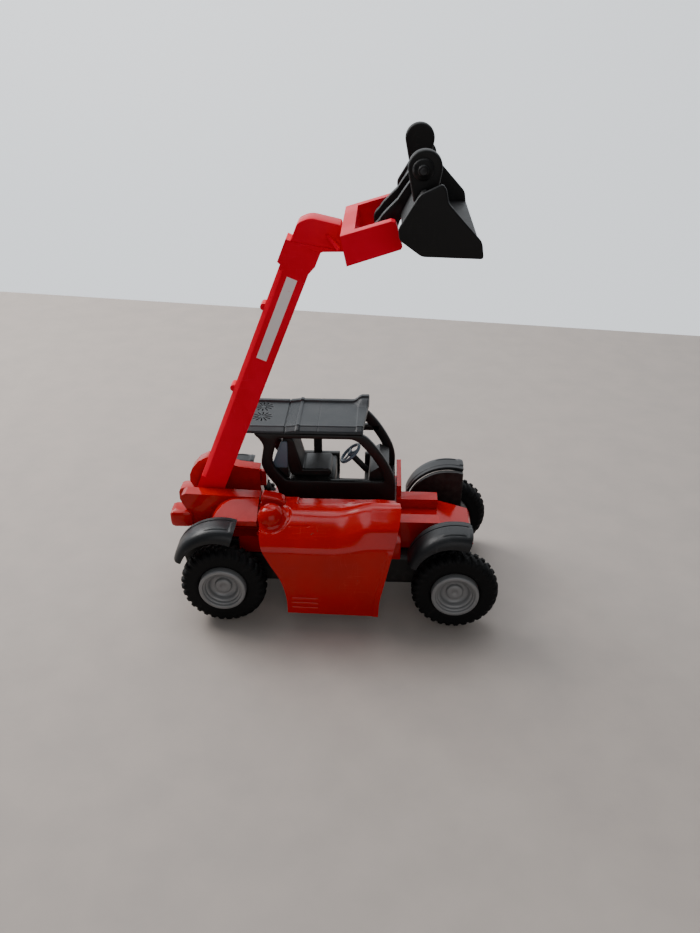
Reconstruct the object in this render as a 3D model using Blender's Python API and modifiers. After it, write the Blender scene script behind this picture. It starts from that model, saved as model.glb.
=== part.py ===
"""Die-cast toy telescopic handler: body, cab, fenders, wheels, lifting boom and tilting bucket.

Every size is in millimetres and is turned into metres by MM when a mesh is made.
X runs forward, Y to the vehicle's left, Z up. Inside the design X is counted from the middle
of the wheelbase; the root empty then moves the model so that its origin is under its middle.
"""
import math

import bmesh
import bpy
from mathutils import Matrix, Vector

MM = 0.001

# ---------------------------------------------------------------- driving sizes
CLEARANCE = 0.3          # gap between two pieces that seat on each other
SNUG = 0.2               # gap round a pin, a tyre or a pressed shaft

WHEELBASE = 56.0
TRACK_OUTER = 42.0       # over the outer faces of the rims
TYRE_RADIUS = 10.5
TYRE_WIDTH = 5.5
RIM_RADIUS = 5.7
RIM_STAND = 0.8          # rim flange stands out of the tyre's side
AXLE_RADIUS = 1.0

CHASSIS_HALF_WIDTH = 11.0
WELL_WALL = 1.3          # thickness of the wheel-well walls
RIVET_SHANK = 1.2
RIVET_HEAD = 2.4
RIVET_HEAD_DEPTH = 0.9

FENDER_GAP = 1.3         # fender's outer radius over the tyre's
FENDER_RISE = 4.4        # fender arc's centre over the wheel's centre
FENDER_SHIFT = -0.25     # fender arc's centre ahead of the wheel's centre
FENDER_ENDS = (71.5, 164.0)
FENDER_WALL = 1.0
FENDER_INNER = 13.2
FENDER_OUTER = 20.3
FENDER_LIP = 3.3
FENDER_STEPS = 12

DECK_HALF_WIDTH = 12.7
CHANNEL_HALF_WIDTH = 3.5 # slot in the body that the boom lowers into
CHEEK_WALL = 3.3
TAIL_HALF_WIDTH = 8.2
HOOD_HALF_WIDTH = 7.3
ARCH_RADIUS = 6.5
ARCH_RISE = 1.7          # wheel arch's top over the fender's
ARCH_SLOPE = 0.52        # fall of the wheel arches' tops per millimetre outwards

COVER_WALL = 1.1
COVER_OUT = 21.0         # outer face of the engine cover's skirt
COVER_INNER = 4.2
COVER_SWELL = 2.2        # height of the lobe at the cover's front
COVER_STEPS = 12
DOME_RADIUS = 3.4

CAB_NEAR = 3.7           # cab's outer face beside the boom channel
CAB_FAR = 20.3
CAB_POST = 1.5           # thickness of the cab's side frames
ROOF_THICKNESS = 1.4
ROOF_RAIL = 0.5
SEAT_MIDDLE = 10.8       # seat, column and wheel line up on this Y
SEAT_HALF_WIDTH = 4.6
STEP_INNER = 15.2        # inner edge of the door's step recess
STEP_DEPTH = 3.4
STEER_LEAN = math.radians(48)
STEER_RADIUS = 2.5
STEER_RIM = 0.45
COLUMN_RADIUS = 0.8

BOOM_ANGLE = math.radians(68.0)
BOOM_HALF_WIDTH = 2.8
BOOM_HALF_DEPTH = 3.25
BOOM_WALL = 0.9
BOOM_LENGTH = 70.0       # pivot to the open end of the collar
COLLAR_LENGTH = 5.6
COLLAR_STEP = 0.75
BOOM_CHAMFER = 1.1
INNER_START = 22.0
PEG_PLACES = (32.0, 53.5)
PIVOT_PIN_RADIUS = 1.5

CARRIER_HALF_WIDTH = 13.0
CARRIER_WALL = 2.6
PIN_CAP = 0.9            # wall left over the carrier's and the cheeks' blind pin holes
TILT_PIN_RADIUS = 0.9
BUCKET_HALF_WIDTH = 22.8
BUCKET_WALL = 1.1
LUG_INNER = 4.6
LUG_WALL = 1.6
EAR_INNER = 15.6
EAR_WALL = 2.6
EAR_RADIUS = 3.3

WHEEL_STEPS = 40

# ---------------------------------------------------------------- derived places
HALF_BASE = WHEELBASE / 2
TYRE_OUT = TRACK_OUTER / 2 - RIM_STAND
TYRE_IN = TYRE_OUT - TYRE_WIDTH
FENDER_RADIUS = TYRE_RADIUS + FENDER_GAP

CHASSIS_BOTTOM = TYRE_RADIUS - 4.0
CHASSIS_TOP = TYRE_RADIUS + 4.2
CHASSIS_REAR = HALF_BASE + 8.0
CHASSIS_FRONT = HALF_BASE + 4.0
RIVET_PLACES = {"rear": 13.0 - HALF_BASE, "front": HALF_BASE - 13.0}

DECK_TOP = CHASSIS_TOP + 5.3
DECK_REAR = HALF_BASE - 9.5
HOOD_STEP = HALF_BASE - 3.7             # where the raised hood rails end
HOOD_TOP = DECK_TOP + 2.5
NOSE_END = HALF_BASE + 5.0
NOSE_TIP_TOP = DECK_TOP - 2.2
ARCH_FRONT = HALF_BASE - 8.0
TAIL_END = HALF_BASE + 14.5
TAIL_FACE = HALF_BASE + 8.6             # where the tail block meets the cheeks

CAB_REAR = 11.4 - HALF_BASE
CAB_FRONT = HALF_BASE - FENDER_RADIUS - 2.8
DECK_FRONT = CAB_FRONT + 1.5
STEP_REAR = CAB_FRONT - 15.0
STEP_FRONT = CAB_FRONT - 8.2
SILL_TOP = DECK_TOP + 7.2
CAB_TOP = DECK_TOP + 20.5

COVER_REAR = 8.5 - HALF_BASE
COVER_FRONT = CAB_FRONT - 0.1
COVER_TOP = DECK_TOP + 7.2
SKIRT_REAR = TYRE_RADIUS + 5.2 - HALF_BASE
SKIRT_BOTTOM = CHASSIS_BOTTOM - 2.3

ALONG = Vector((math.cos(BOOM_ANGLE), math.sin(BOOM_ANGLE)))
ACROSS = Vector((math.sin(BOOM_ANGLE), -math.cos(BOOM_ANGLE)))
BOOM_PIVOT = (-HALF_BASE - 6.3, DECK_TOP + 4.2)
CHEEK_OUT = CHANNEL_HALF_WIDTH + CHEEK_WALL
CHANNEL_FLOOR = BOOM_PIVOT[1] - BOOM_HALF_DEPTH - COLLAR_STEP - CLEARANCE
BOOM_END = tuple(Vector(BOOM_PIVOT) + ALONG * BOOM_LENGTH)
TILT_PIVOT = (BOOM_END[0] + 17.38, BOOM_END[1] + 4.4)

FRONT_END = HALF_BASE + TYRE_RADIUS
MIDDLE_X = (FRONT_END - TAIL_END) / 2

for old in list(bpy.data.objects):
    bpy.data.objects.remove(old, do_unlink=True)

parts = bpy.data.collections.new("telescopic_handler")
cutters = bpy.data.collections.new("cutters")
bpy.context.scene.collection.children.link(parts)
bpy.context.scene.collection.children.link(cutters)


# ---------------------------------------------------------------- empties
def pivot(name, place, parent=None):
    """Empty at a place in design millimetres, parented to another empty."""
    empty = bpy.data.objects.new(name, None)
    empty.empty_display_size = 5 * MM
    parts.objects.link(empty)
    offset = Vector(place)
    if parent is not None:
        empty.parent = parent
        offset = offset - Vector(parent["place"])
    empty["place"] = list(place)
    empty.location = offset * MM
    return empty


root = pivot("vehicle", (0.0, 0.0, 0.0))
root.location.x = -MIDDLE_X * MM
front_turn = pivot("front_axle_turn", (HALF_BASE, 0, TYRE_RADIUS), root)
rear_turn = pivot("rear_axle_turn", (-HALF_BASE, 0, TYRE_RADIUS), root)
lift = pivot("boom_lift", (BOOM_PIVOT[0], 0, BOOM_PIVOT[1]), root)
reach = pivot("boom_extend", (BOOM_PIVOT[0], 0, BOOM_PIVOT[1]), lift)
tilt = pivot("bucket_tilt", (TILT_PIVOT[0], 0, TILT_PIVOT[1]), reach)


# ---------------------------------------------------------------- materials
def paint(name, colour, roughness, metallic=0.0):
    """Principled material of one colour."""
    made = bpy.data.materials.new(name)
    made.use_nodes = True
    shader = made.node_tree.nodes["Principled BSDF"]
    shader.inputs["Base Color"].default_value = (*colour, 1.0)
    shader.inputs["Roughness"].default_value = roughness
    shader.inputs["Metallic"].default_value = metallic
    made.diffuse_color = (*colour, 1.0)
    return made


FINISHES = {
    "body_paint": ((0.52, 0.020, 0.010), 0.25, 0.0),
    "boom_plastic": ((0.60, 0.004, 0.012), 0.35, 0.0),
    "black_plastic": ((0.022, 0.020, 0.020), 0.45, 0.0),
    "fender_plastic": ((0.035, 0.045, 0.055), 0.40, 0.0),
    "rim_plastic": ((0.22, 0.23, 0.24), 0.40, 0.3),
    "tyre_rubber": ((0.012, 0.012, 0.013), 0.70, 0.0),
    "bright_steel": ((0.55, 0.55, 0.56), 0.30, 1.0),
}


# ---------------------------------------------------------------- shape tools
def finish(obj, group, parent, name_of_finish):
    """Put an object in its group, under its pivot, with its own material."""
    group.objects.link(obj)
    obj.parent = parent
    obj.location = -Vector(parent["place"]) * MM
    if group is cutters:
        obj.hide_render = True
        obj.display_type = "WIRE"
    else:
        colour, roughness, metallic = FINISHES[name_of_finish]
        obj.data.materials.append(paint(obj.name + "_finish", colour, roughness, metallic))
    return obj


def from_bmesh(name, bm):
    """Mesh object of a bmesh whose coordinates are in millimetres."""
    bmesh.ops.scale(bm, vec=(MM, MM, MM), verts=bm.verts)
    bmesh.ops.recalc_face_normals(bm, faces=bm.faces)
    mesh = bpy.data.meshes.new(name)
    bm.to_mesh(mesh)
    bm.free()
    return bpy.data.objects.new(name, mesh)


def block(name, low, high, bevel=0.0):
    """Box between two corners, its edges bevelled by the given width."""
    bm = bmesh.new()
    bmesh.ops.create_cube(bm, size=1.0)
    low, high = Vector(low), Vector(high)
    bmesh.ops.scale(bm, vec=high - low, verts=bm.verts)
    bmesh.ops.translate(bm, vec=(low + high) / 2, verts=bm.verts)
    if bevel:
        bmesh.ops.bevel(bm, geom=bm.edges, offset=bevel, segments=2, profile=0.5, affect="EDGES")
    return from_bmesh(name, bm)


PLANES = {
    "X": Matrix(((0, 0, 1, 0), (1, 0, 0, 0), (0, 1, 0, 0), (0, 0, 0, 1))),
    "Y": Matrix(((1, 0, 0, 0), (0, 0, -1, 0), (0, 1, 0, 0), (0, 0, 0, 1))),
    "Z": Matrix.Identity(4),
}


def prism(name, outline, axis, low, high):
    """Flat outline drawn across an axis and given its thickness from low to high."""
    curve = bpy.data.curves.new(name, "CURVE")
    curve.dimensions = "2D"
    curve.fill_mode = "BOTH"
    curve.extrude = (high - low) / 2 * MM
    spline = curve.splines.new("POLY")
    spline.points.add(len(outline) - 1)
    for point, (a, b) in zip(spline.points, outline):
        point.co = (a * MM, b * MM, 0, 1)
    spline.use_cyclic_u = True
    flat = bpy.data.objects.new(name, curve)
    shift = {"X": (1, 0, 0), "Y": (0, 1, 0), "Z": (0, 0, 1)}[axis]
    flat.matrix_world = Matrix.Translation(Vector(shift) * (low + high) / 2 * MM) @ PLANES[axis]
    bpy.context.scene.collection.objects.link(flat)
    bpy.context.view_layer.update()
    evaluated = flat.evaluated_get(bpy.context.evaluated_depsgraph_get())
    mesh = bpy.data.meshes.new_from_object(evaluated)
    mesh.transform(flat.matrix_world)
    bpy.data.objects.remove(flat, do_unlink=True)
    bm = bmesh.new()
    bm.from_mesh(mesh)
    bmesh.ops.remove_doubles(bm, verts=bm.verts, dist=1e-6)
    bmesh.ops.recalc_face_normals(bm, faces=bm.faces)
    bm.to_mesh(mesh)
    bm.free()
    return bpy.data.objects.new(name, mesh)


def rod(name, start, end, radius, sides=24):
    """Round bar between two points."""
    bm = bmesh.new()
    start, end = Vector(start), Vector(end)
    way = end - start
    bmesh.ops.create_cone(bm, cap_ends=True, segments=sides, radius1=radius, radius2=radius,
                          depth=way.length)
    turn = Vector((0, 0, 1)).rotation_difference(way.normalized()).to_matrix().to_4x4()
    bmesh.ops.transform(bm, matrix=Matrix.Translation((start + end) / 2) @ turn, verts=bm.verts)
    return from_bmesh(name, bm)


def ball(name, centre, radius, rows=12):
    """Sphere."""
    bm = bmesh.new()
    bmesh.ops.create_uvsphere(bm, u_segments=2 * rows, v_segments=rows, radius=radius)
    bmesh.ops.translate(bm, vec=Vector(centre), verts=bm.verts)
    return from_bmesh(name, bm)


def sheet(name, rows, thickness):
    """Open surface through rows of points, thickened to its inner side."""
    mesh = bpy.data.meshes.new(name)
    across = len(rows[0])
    points = [Vector(p) * MM for row in rows for p in row]
    faces = []
    for i in range(len(rows) - 1):
        for j in range(across - 1):
            corner = i * across + j
            faces.append((corner, corner + 1, corner + across + 1, corner + across))
    mesh.from_pydata(points, [], faces)
    obj = bpy.data.objects.new(name, mesh)
    wall = obj.modifiers.new("wall", "SOLIDIFY")
    wall.thickness = thickness * MM
    wall.offset = -1.0
    wall.use_even_offset = True
    return obj


def turned(name, profile, steps=WHEEL_STEPS, closed=False):
    """Profile of (radius, height) points turned about Z, listed down the outer side."""
    mesh = bpy.data.meshes.new(name)
    points = [(radius * MM, 0.0, height * MM) for radius, height in profile]
    edges = [(i, i + 1) for i in range(len(points) - 1)]
    if closed:
        edges.append((len(points) - 1, 0))
    mesh.from_pydata(points, edges, [])
    obj = bpy.data.objects.new(name, mesh)
    screw = obj.modifiers.new("turn", "SCREW")
    screw.axis = "Z"
    screw.steps = steps
    screw.render_steps = steps
    screw.use_merge_vertices = True
    screw.merge_threshold = 1e-6
    screw.use_smooth_shade = True
    return obj


def combine(base, operation, tools, parent):
    """Boolean each tool into the base; the tools stay hidden in the cutters."""
    for tool in tools:
        finish(tool, cutters, parent, None)
        step = base.modifiers.new(operation.lower() + "_" + tool.name, "BOOLEAN")
        step.operation = operation
        step.solver = "EXACT"
        step.object = tool
    return base


def smooth(obj, degrees=35):
    """Smooth shading with sharp edges kept."""
    obj.data.shade_smooth()
    obj.data.set_sharp_from_angle(angle=math.radians(degrees))


def arc(centre, radius, start, end, steps):
    """Points on a circle from one angle to another, in degrees, both ends included."""
    turn = [math.radians(start + (end - start) * i / steps) for i in range(steps + 1)]
    return [(centre[0] + radius * math.cos(a), centre[1] + radius * math.sin(a)) for a in turn]


def from_point(origin, steps):
    """Outline points given by their distance from one point."""
    return [(origin[0] + a, origin[1] + b) for a, b in steps]


# ---------------------------------------------------------------- wheels and axles
def tyre_profile():
    """Closed section of the tyre, (radius, height over the tyre's inner side)."""
    seat = RIM_RADIUS + SNUG
    crown = TYRE_RADIUS
    wide = TYRE_WIDTH
    return [(seat, wide - 0.5), (seat + 0.6, wide), (crown - 1.4, wide), (crown - 0.4, wide - 0.6),
            (crown, wide - 1.5), (crown, 1.5), (crown - 0.4, 0.6), (crown - 1.4, 0.0),
            (seat + 0.6, 0.0), (seat, 0.5)]


def rim_profile():
    """Section of the rim with its dish and blind axle bore, heights over the tyre's inner side."""
    face = TYRE_WIDTH + RIM_STAND
    bore = AXLE_RADIUS + SNUG
    dish = face - 1.7
    return [(0.0, face - 0.5), (1.5, face - 0.5), (1.9, face - 0.9), (2.0, dish), (4.0, dish),
            (4.7, face - 0.9), (5.0, face), (RIM_RADIUS - 0.2, face), (RIM_RADIUS, face - 0.2),
            (RIM_RADIUS, 0.3), (bore, 0.3), (bore, face - 2.6), (0.0, face - 2.6)]


def wheel(turn, side, place):
    """Rim and tyre of one wheel; side is -1 on the right and 1 on the left."""
    label = place + ("_left" if side > 0 else "_right")
    for name, profile, closed, look in (("tyre_" + label, tyre_profile(), True, "tyre_rubber"),
                                        ("rim_" + label, rim_profile(), False, "rim_plastic")):
        obj = turned(name, profile, closed=closed)
        finish(obj, parts, turn, look)
        obj.location = (0, side * TYRE_IN * MM, 0)
        obj.rotation_euler = (-side * math.pi / 2, 0, 0)


def axle(name, turn):
    """Steel pin that joins two wheels."""
    half = TYRE_IN + TYRE_WIDTH + RIM_STAND - 2.6 - SNUG
    x, _, z = turn["place"]
    obj = rod(name, (x, -half, z), (x, half, z), AXLE_RADIUS)
    smooth(finish(obj, parts, turn, "bright_steel"))


for turn, place in ((front_turn, "front"), (rear_turn, "rear")):
    axle(place + "_axle", turn)
    wheel(turn, -1, place)
    wheel(turn, 1, place)


# ---------------------------------------------------------------- fenders
def fender_arc(wheel_x, radius):
    """Arc of the fender over one wheel, from its upright front end to its tail."""
    centre = (wheel_x + FENDER_SHIFT, TYRE_RADIUS + FENDER_RISE)
    return arc(centre, radius, *FENDER_ENDS, FENDER_STEPS)


def fender(name, wheel_x, side):
    """Curved mudguard with a rolled outer lip that gets shallower towards the tail."""
    drop = [(FENDER_INNER, 0.0), (FENDER_OUTER - 2.6, 0.1), (FENDER_OUTER - 1.1, 0.5),
            (FENDER_OUTER - 0.3, 1.3), (FENDER_OUTER, FENDER_LIP)]
    rows = []
    for i in range(FENDER_STEPS + 1):
        shallower = 1.0 - 0.4 * i / FENDER_STEPS
        row = []
        for y, down in drop:
            x, z = fender_arc(wheel_x, FENDER_RADIUS - down * shallower)[i]
            row.append((x, side * y, z))
        rows.append(row if side > 0 else row[::-1])
    obj = sheet(name, rows, FENDER_WALL)
    smooth(finish(obj, parts, root, "fender_plastic"), 50)


for wheel_x, place in ((HALF_BASE, "front"), (-HALF_BASE, "rear")):
    fender("fender_" + place + "_right", wheel_x, -1)
    fender("fender_" + place + "_left", wheel_x, 1)


# ---------------------------------------------------------------- chassis
def chassis():
    """Black floor pan with axle bores, rivet holes and wheel-well walls."""
    base = block("chassis_base", (-CHASSIS_REAR, -CHASSIS_HALF_WIDTH, CHASSIS_BOTTOM),
                 (CHASSIS_FRONT, CHASSIS_HALF_WIDTH, CHASSIS_TOP), 0.8)
    tools = []
    wall_out = FENDER_INNER - CLEARANCE
    for wheel_x, top in ((HALF_BASE, DECK_TOP + 6.0), (-HALF_BASE, DECK_TOP)):
        upper = [(x, min(z, top)) for x, z in fender_arc(wheel_x, FENDER_RADIUS - 0.6)]
        outline = upper + [(wheel_x - 9.0, CHASSIS_BOTTOM + 1.5), (wheel_x + 3.2, CHASSIS_BOTTOM + 1.5)]
        for side in (-1, 1):
            low, high = sorted((side * (wall_out - WELL_WALL), side * wall_out))
            tools.append(prism("well_wall", outline, "Y", low, high))
            low, high = sorted((side * (CHASSIS_HALF_WIDTH - 1), side * (wall_out - WELL_WALL / 2)))
            tools.append(block("well_foot", (wheel_x - 8.5, low, CHASSIS_BOTTOM + 2),
                               (wheel_x + 3.0, high, CHASSIS_TOP - 0.5)))
    combine(base, "UNION", tools, root)
    holes = []
    for x in (-HALF_BASE, HALF_BASE):
        holes.append(rod("axle_bore", (x, -FENDER_OUTER, TYRE_RADIUS),
                         (x, FENDER_OUTER, TYRE_RADIUS), AXLE_RADIUS + SNUG))
    for x in RIVET_PLACES.values():
        holes.append(rod("rivet_hole", (x, 0, 0), (x, 0, DECK_TOP), RIVET_SHANK + SNUG))
        sunk = CHASSIS_BOTTOM + RIVET_HEAD_DEPTH + CLEARANCE + SNUG
        holes.append(rod("rivet_sink", (x, 0, 0), (x, 0, sunk), RIVET_HEAD + SNUG))
    combine(base, "DIFFERENCE", holes, root)
    finish(base, parts, root, "black_plastic")


def rivet(place, x):
    """Rivet that clamps the floor pan under the body, its head sunk in the pan."""
    head = CHASSIS_BOTTOM + RIVET_HEAD_DEPTH + SNUG
    shape = [(0.0, CHASSIS_TOP), (RIVET_SHANK, CHASSIS_TOP), (RIVET_SHANK, head),
             (RIVET_HEAD, head), (RIVET_HEAD - 0.4, head - RIVET_HEAD_DEPTH + 0.2),
             (0.0, head - RIVET_HEAD_DEPTH)]
    obj = turned("chassis_rivet_" + place, shape, 20)
    finish(obj, parts, root, "bright_steel")
    obj.location.x += x * MM


chassis()
for place, x in RIVET_PLACES.items():
    rivet(place, x)


# ---------------------------------------------------------------- body casting
def body_casting():
    """Red casting: deck, boom cheeks, wheel arches, tail, hood rails, nose and fire wall."""
    bottom = CHASSIS_TOP + CLEARANCE
    base = block("body_casting", (-DECK_REAR, -DECK_HALF_WIDTH, bottom),
                 (DECK_FRONT, DECK_HALF_WIDTH, DECK_TOP), 0.4)
    narrow = CHASSIS_HALF_WIDTH - 0.2
    spine = [(-TAIL_FACE - 0.6, bottom), (NOSE_END - 2.0, bottom), (NOSE_END, NOSE_TIP_TOP - 1.2),
             (NOSE_END - 0.6, NOSE_TIP_TOP), (HOOD_STEP + 0.8, CHANNEL_FLOOR),
             (HOOD_STEP, CHANNEL_FLOOR), (-TAIL_FACE + 0.2, CHANNEL_FLOOR)]
    tools = [prism("spine", spine, "Y", -HOOD_HALF_WIDTH, HOOD_HALF_WIDTH),
             block("rear_deck", (-CHASSIS_REAR, -narrow, bottom), (-DECK_REAR + 2, narrow, DECK_TOP - 0.4))]
    rear = from_point(BOOM_PIVOT, [(-3.0, -2.2), (-3.9, 0.1), (-5.0, 2.4), (-4.9, 4.2)])
    foot = [(-ARCH_FRONT, bottom + 1), (-TAIL_FACE, bottom + 1)]
    near_top = from_point(BOOM_PIVOT, [(-3.9, 4.8)]) + [(-ARCH_FRONT, BOOM_PIVOT[1] + 4.2)]
    far_top = from_point(BOOM_PIVOT, [(-4.1, 6.1), (-2.3, 8.2), (-0.1, 9.4), (1.9, 9.4), (3.7, 8.6),
                                      (7.8, 6.8), (13.1, 6.2), (13.1, 2.0)])
    tools.append(prism("near_cheek", rear + near_top + foot, "Y", -CHEEK_OUT, -CHANNEL_HALF_WIDTH))
    tools.append(prism("far_cheek", rear + far_top + foot, "Y", CHANNEL_HALF_WIDTH, CHEEK_OUT))
    arch_top = TYRE_RADIUS + FENDER_RISE + FENDER_RADIUS + ARCH_RISE
    arch_centre = (-HALF_BASE + 2.5, arch_top - 0.2 - ARCH_RADIUS)
    arch_edge = [(-ARCH_FRONT, DECK_TOP + 4.0), (-ARCH_FRONT, arch_top - 0.2)]
    arch_edge += arc(arch_centre, ARCH_RADIUS, 90, 170, 6)
    arch_edge += from_point(arch_centre, [(-5.9, -1.2), (-4.1, 1.7), (-2.1, 2.3)])
    for side in (-1, 1):
        low, high = sorted((side * (CHEEK_OUT - 0.5), side * (FENDER_INNER - CLEARANCE)))
        tools.append(prism("wheel_arch", arch_edge, "Y", low, high))
    tools.append(block("tail", (-TAIL_END, -TAIL_HALF_WIDTH, DECK_TOP - 0.3),
                       (-TAIL_FACE, TAIL_HALF_WIDTH, DECK_TOP + 4.4), 1.3))
    after_cab = CAB_FRONT + 0.1 + CLEARANCE
    rail = [(after_cab, DECK_TOP - 1.0), (HOOD_STEP, DECK_TOP - 1.0), (HOOD_STEP, HOOD_TOP),
            (after_cab, HOOD_TOP)]
    for side in (-1, 1):
        low, high = sorted((side * (CHANNEL_HALF_WIDTH - 0.2), side * HOOD_HALF_WIDTH))
        tools.append(prism("hood_rail", rail, "Y", low, high))
    wall_top = COVER_TOP - COVER_WALL - CLEARANCE
    tools.append(block("channel_wall", (-ARCH_FRONT - 1, -COVER_INNER - 1.6, DECK_TOP - 1),
                       (DECK_FRONT - 1.0, -CHANNEL_HALF_WIDTH, wall_top)))
    tools.append(block("fire_wall", (after_cab, CHANNEL_HALF_WIDTH + 1.5, DECK_TOP - 1),
                       (after_cab + 1.2, CAB_FAR - 1.3, DECK_TOP + 5.5)))
    tools.append(block("far_sill", (CAB_REAR + 1.6, DECK_HALF_WIDTH - 1, bottom + 1),
                       (DECK_FRONT - 1.0, CAB_FAR - 0.6, DECK_TOP)))
    combine(base, "UNION", tools, root)
    cuts = []
    for side in (-1, 1):
        rim = side * (FENDER_INNER + 1)
        outline = [(side * (CHEEK_OUT + 0.2), arch_top + 1.6), (side * (CHEEK_OUT + 0.2), arch_top),
                   (rim, arch_top - ARCH_SLOPE * (FENDER_INNER + 0.8 - CHEEK_OUT)), (rim, arch_top + 1.6)]
        cuts.append(prism("arch_slope", outline, "X", -TAIL_FACE + 2.6, -ARCH_FRONT + 0.5))
    cuts.append(block("sill_step", (STEP_REAR, STEP_INNER, DECK_TOP - STEP_DEPTH),
                      (STEP_FRONT, CAB_FAR, SILL_TOP)))
    half = CHANNEL_HALF_WIDTH
    cuts.append(block("boom_slot", (-TAIL_END - 1.5, -half, CHANNEL_FLOOR), (HOOD_STEP, half, CAB_TOP)))
    pin = PIVOT_PIN_RADIUS + SNUG
    cuts.append(rod("pivot_bore", (BOOM_PIVOT[0], -CHEEK_OUT + PIN_CAP, BOOM_PIVOT[1]),
                    (BOOM_PIVOT[0], CHEEK_OUT - PIN_CAP, BOOM_PIVOT[1]), pin))
    combine(base, "DIFFERENCE", cuts, root)
    finish(base, parts, root, "body_paint")


body_casting()


# ---------------------------------------------------------------- engine cover
def cover_rows():
    """Rows across the engine cover, from its inner top edge over the shoulder to the skirt.

    Each station is (y, z, rear x, front x); the front end swells up by a smooth step.
    """
    out = COVER_OUT
    top, rear, front, skirt = COVER_TOP, COVER_REAR, COVER_FRONT, SKIRT_REAR
    shoulder = top - 5.0
    stations = [(COVER_INNER, top, rear, front), (8.0, top + 0.5, rear, front + 0.6),
                (12.0, top + 0.8, rear + 0.2, front + 1.4), (15.4, top - 0.8, rear + 0.5, front + 1.2),
                (18.4, top - 3.0, rear + 0.7, front + 0.7), (out - 0.7, shoulder, rear + 1.3, front - 0.2),
                (out - 0.1, shoulder - 3.7, rear + 3.3, front - 1.2),
                (out, CHASSIS_TOP - 0.7, skirt - 1.3, front - 2.3),
                (out, CHASSIS_BOTTOM + 2.5, skirt - 0.1, front - 3.4),
                (out - 0.3, SKIRT_BOTTOM, skirt, front - 3.6)]
    rows = []
    for y, z, rear_x, front_x in stations:
        row = []
        for i in range(COVER_STEPS + 1):
            x = rear_x + (front_x - rear_x) * i / COVER_STEPS
            rise = min(max((x - front + 12.3) / 8.0, 0.0), 1.0)
            rise = rise * rise * (3 - 2 * rise)
            hump = max(0.0, 1.0 - ((y - 12.0) / 5.5) ** 2)
            row.append((x, -y, z + COVER_SWELL * rise * hump))
        rows.append(row)
    return rows


def engine_cover():
    """Shell over the engine with the round air filter and its fin at the rear."""
    base = sheet("engine_cover", cover_rows(), COVER_WALL)
    fin = from_point((COVER_REAR, COVER_TOP), [(0.2, -0.6), (6.1, -0.6), (5.9, 0.5), (0.2, 2.7)])
    tools = [ball("filter_dome", (COVER_REAR + 3.1, -12.6, COVER_TOP - 0.8), DOME_RADIUS),
             prism("fin", fin, "Y", -8.6, -5.2)]
    combine(base, "UNION", tools, root)
    finish(base, parts, root, "body_paint")


engine_cover()


# ---------------------------------------------------------------- cab
def side_outline():
    """Outer edge of a cab side frame, (x, z)."""
    front, rear = (CAB_FRONT, CAB_TOP), (CAB_REAR, CAB_TOP)
    ends = [(CAB_REAR, DECK_TOP + CLEARANCE), (CAB_FRONT, DECK_TOP + CLEARANCE)]
    nose = [(0.1, -13.5), (-0.7, -10.3), (-2.5, -6.7), (-5.0, -3.3), (-8.0, 0.0)]
    tail = [(-6.0, 0.0), (-4.4, -1.5), (-3.3, -3.5), (-4.3, -9.1), (-2.8, -12.1), (0.0, -16.1)]
    return ends + from_point(front, nose) + from_point(rear, tail)


def window_outline():
    """Opening in a cab side frame, (x, z)."""
    nose = [(-3.2, -10.9), (-4.9, -7.5), (-7.3, -4.2), (-10.2, -1.1)]
    return ([(CAB_REAR + 2.0, SILL_TOP), (CAB_FRONT - 2.8, SILL_TOP)]
            + from_point((CAB_FRONT, CAB_TOP), nose)
            + from_point((CAB_REAR, CAB_TOP), [(0.2, -1.1), (-1.7, -8.7)]))


def cab_frame():
    """Two side frames with posts, joined by cross rails, with a door post on the far side."""
    near_in = CAB_NEAR + CAB_POST
    far_in = CAB_FAR - CAB_POST
    base = prism("cab_frame", side_outline(), "Y", CAB_NEAR, near_in)
    tools = [prism("far_side", side_outline(), "Y", far_in, CAB_FAR)]
    floor = DECK_TOP + CLEARANCE
    for x in (CAB_REAR + 0.6, CAB_FRONT - 1.4):
        tools.append(block("cross_rail", (x, CAB_NEAR + 0.5, floor),
                           (x + 1.4, CAB_FAR - 0.5, floor + 3.5)))
    for x in (CAB_REAR - 5.0, CAB_FRONT - 10.0):
        tools.append(block("head_rail", (x, CAB_NEAR + 0.5, CAB_TOP - 1.1),
                           (x + 1.6, CAB_FAR - 0.5, CAB_TOP)))
    combine(base, "UNION", tools, root)
    cuts = [prism("near_window", window_outline(), "Y", CAB_NEAR - 1, near_in + 1),
            prism("far_window", window_outline(), "Y", far_in - 1, CAB_FAR + 1),
            block("doorway", (STEP_REAR, far_in - 1, floor - 1.0),
                  (STEP_FRONT, CAB_FAR + 1, SILL_TOP + 1))]
    combine(base, "DIFFERENCE", cuts, root)
    posts = [block("door_post", (CAB_REAR + 8.0, far_in, SILL_TOP - 1),
                   (CAB_REAR + 10.2, CAB_FAR, CAB_TOP - 0.5)),
             block("door_bar", (CAB_REAR + 8.6, far_in, CAB_TOP - 6.3),
                   (CAB_FRONT - 4.4, CAB_FAR, CAB_TOP - 4.7))]
    combine(base, "UNION", posts, root)
    finish(base, parts, root, "black_plastic")


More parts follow.
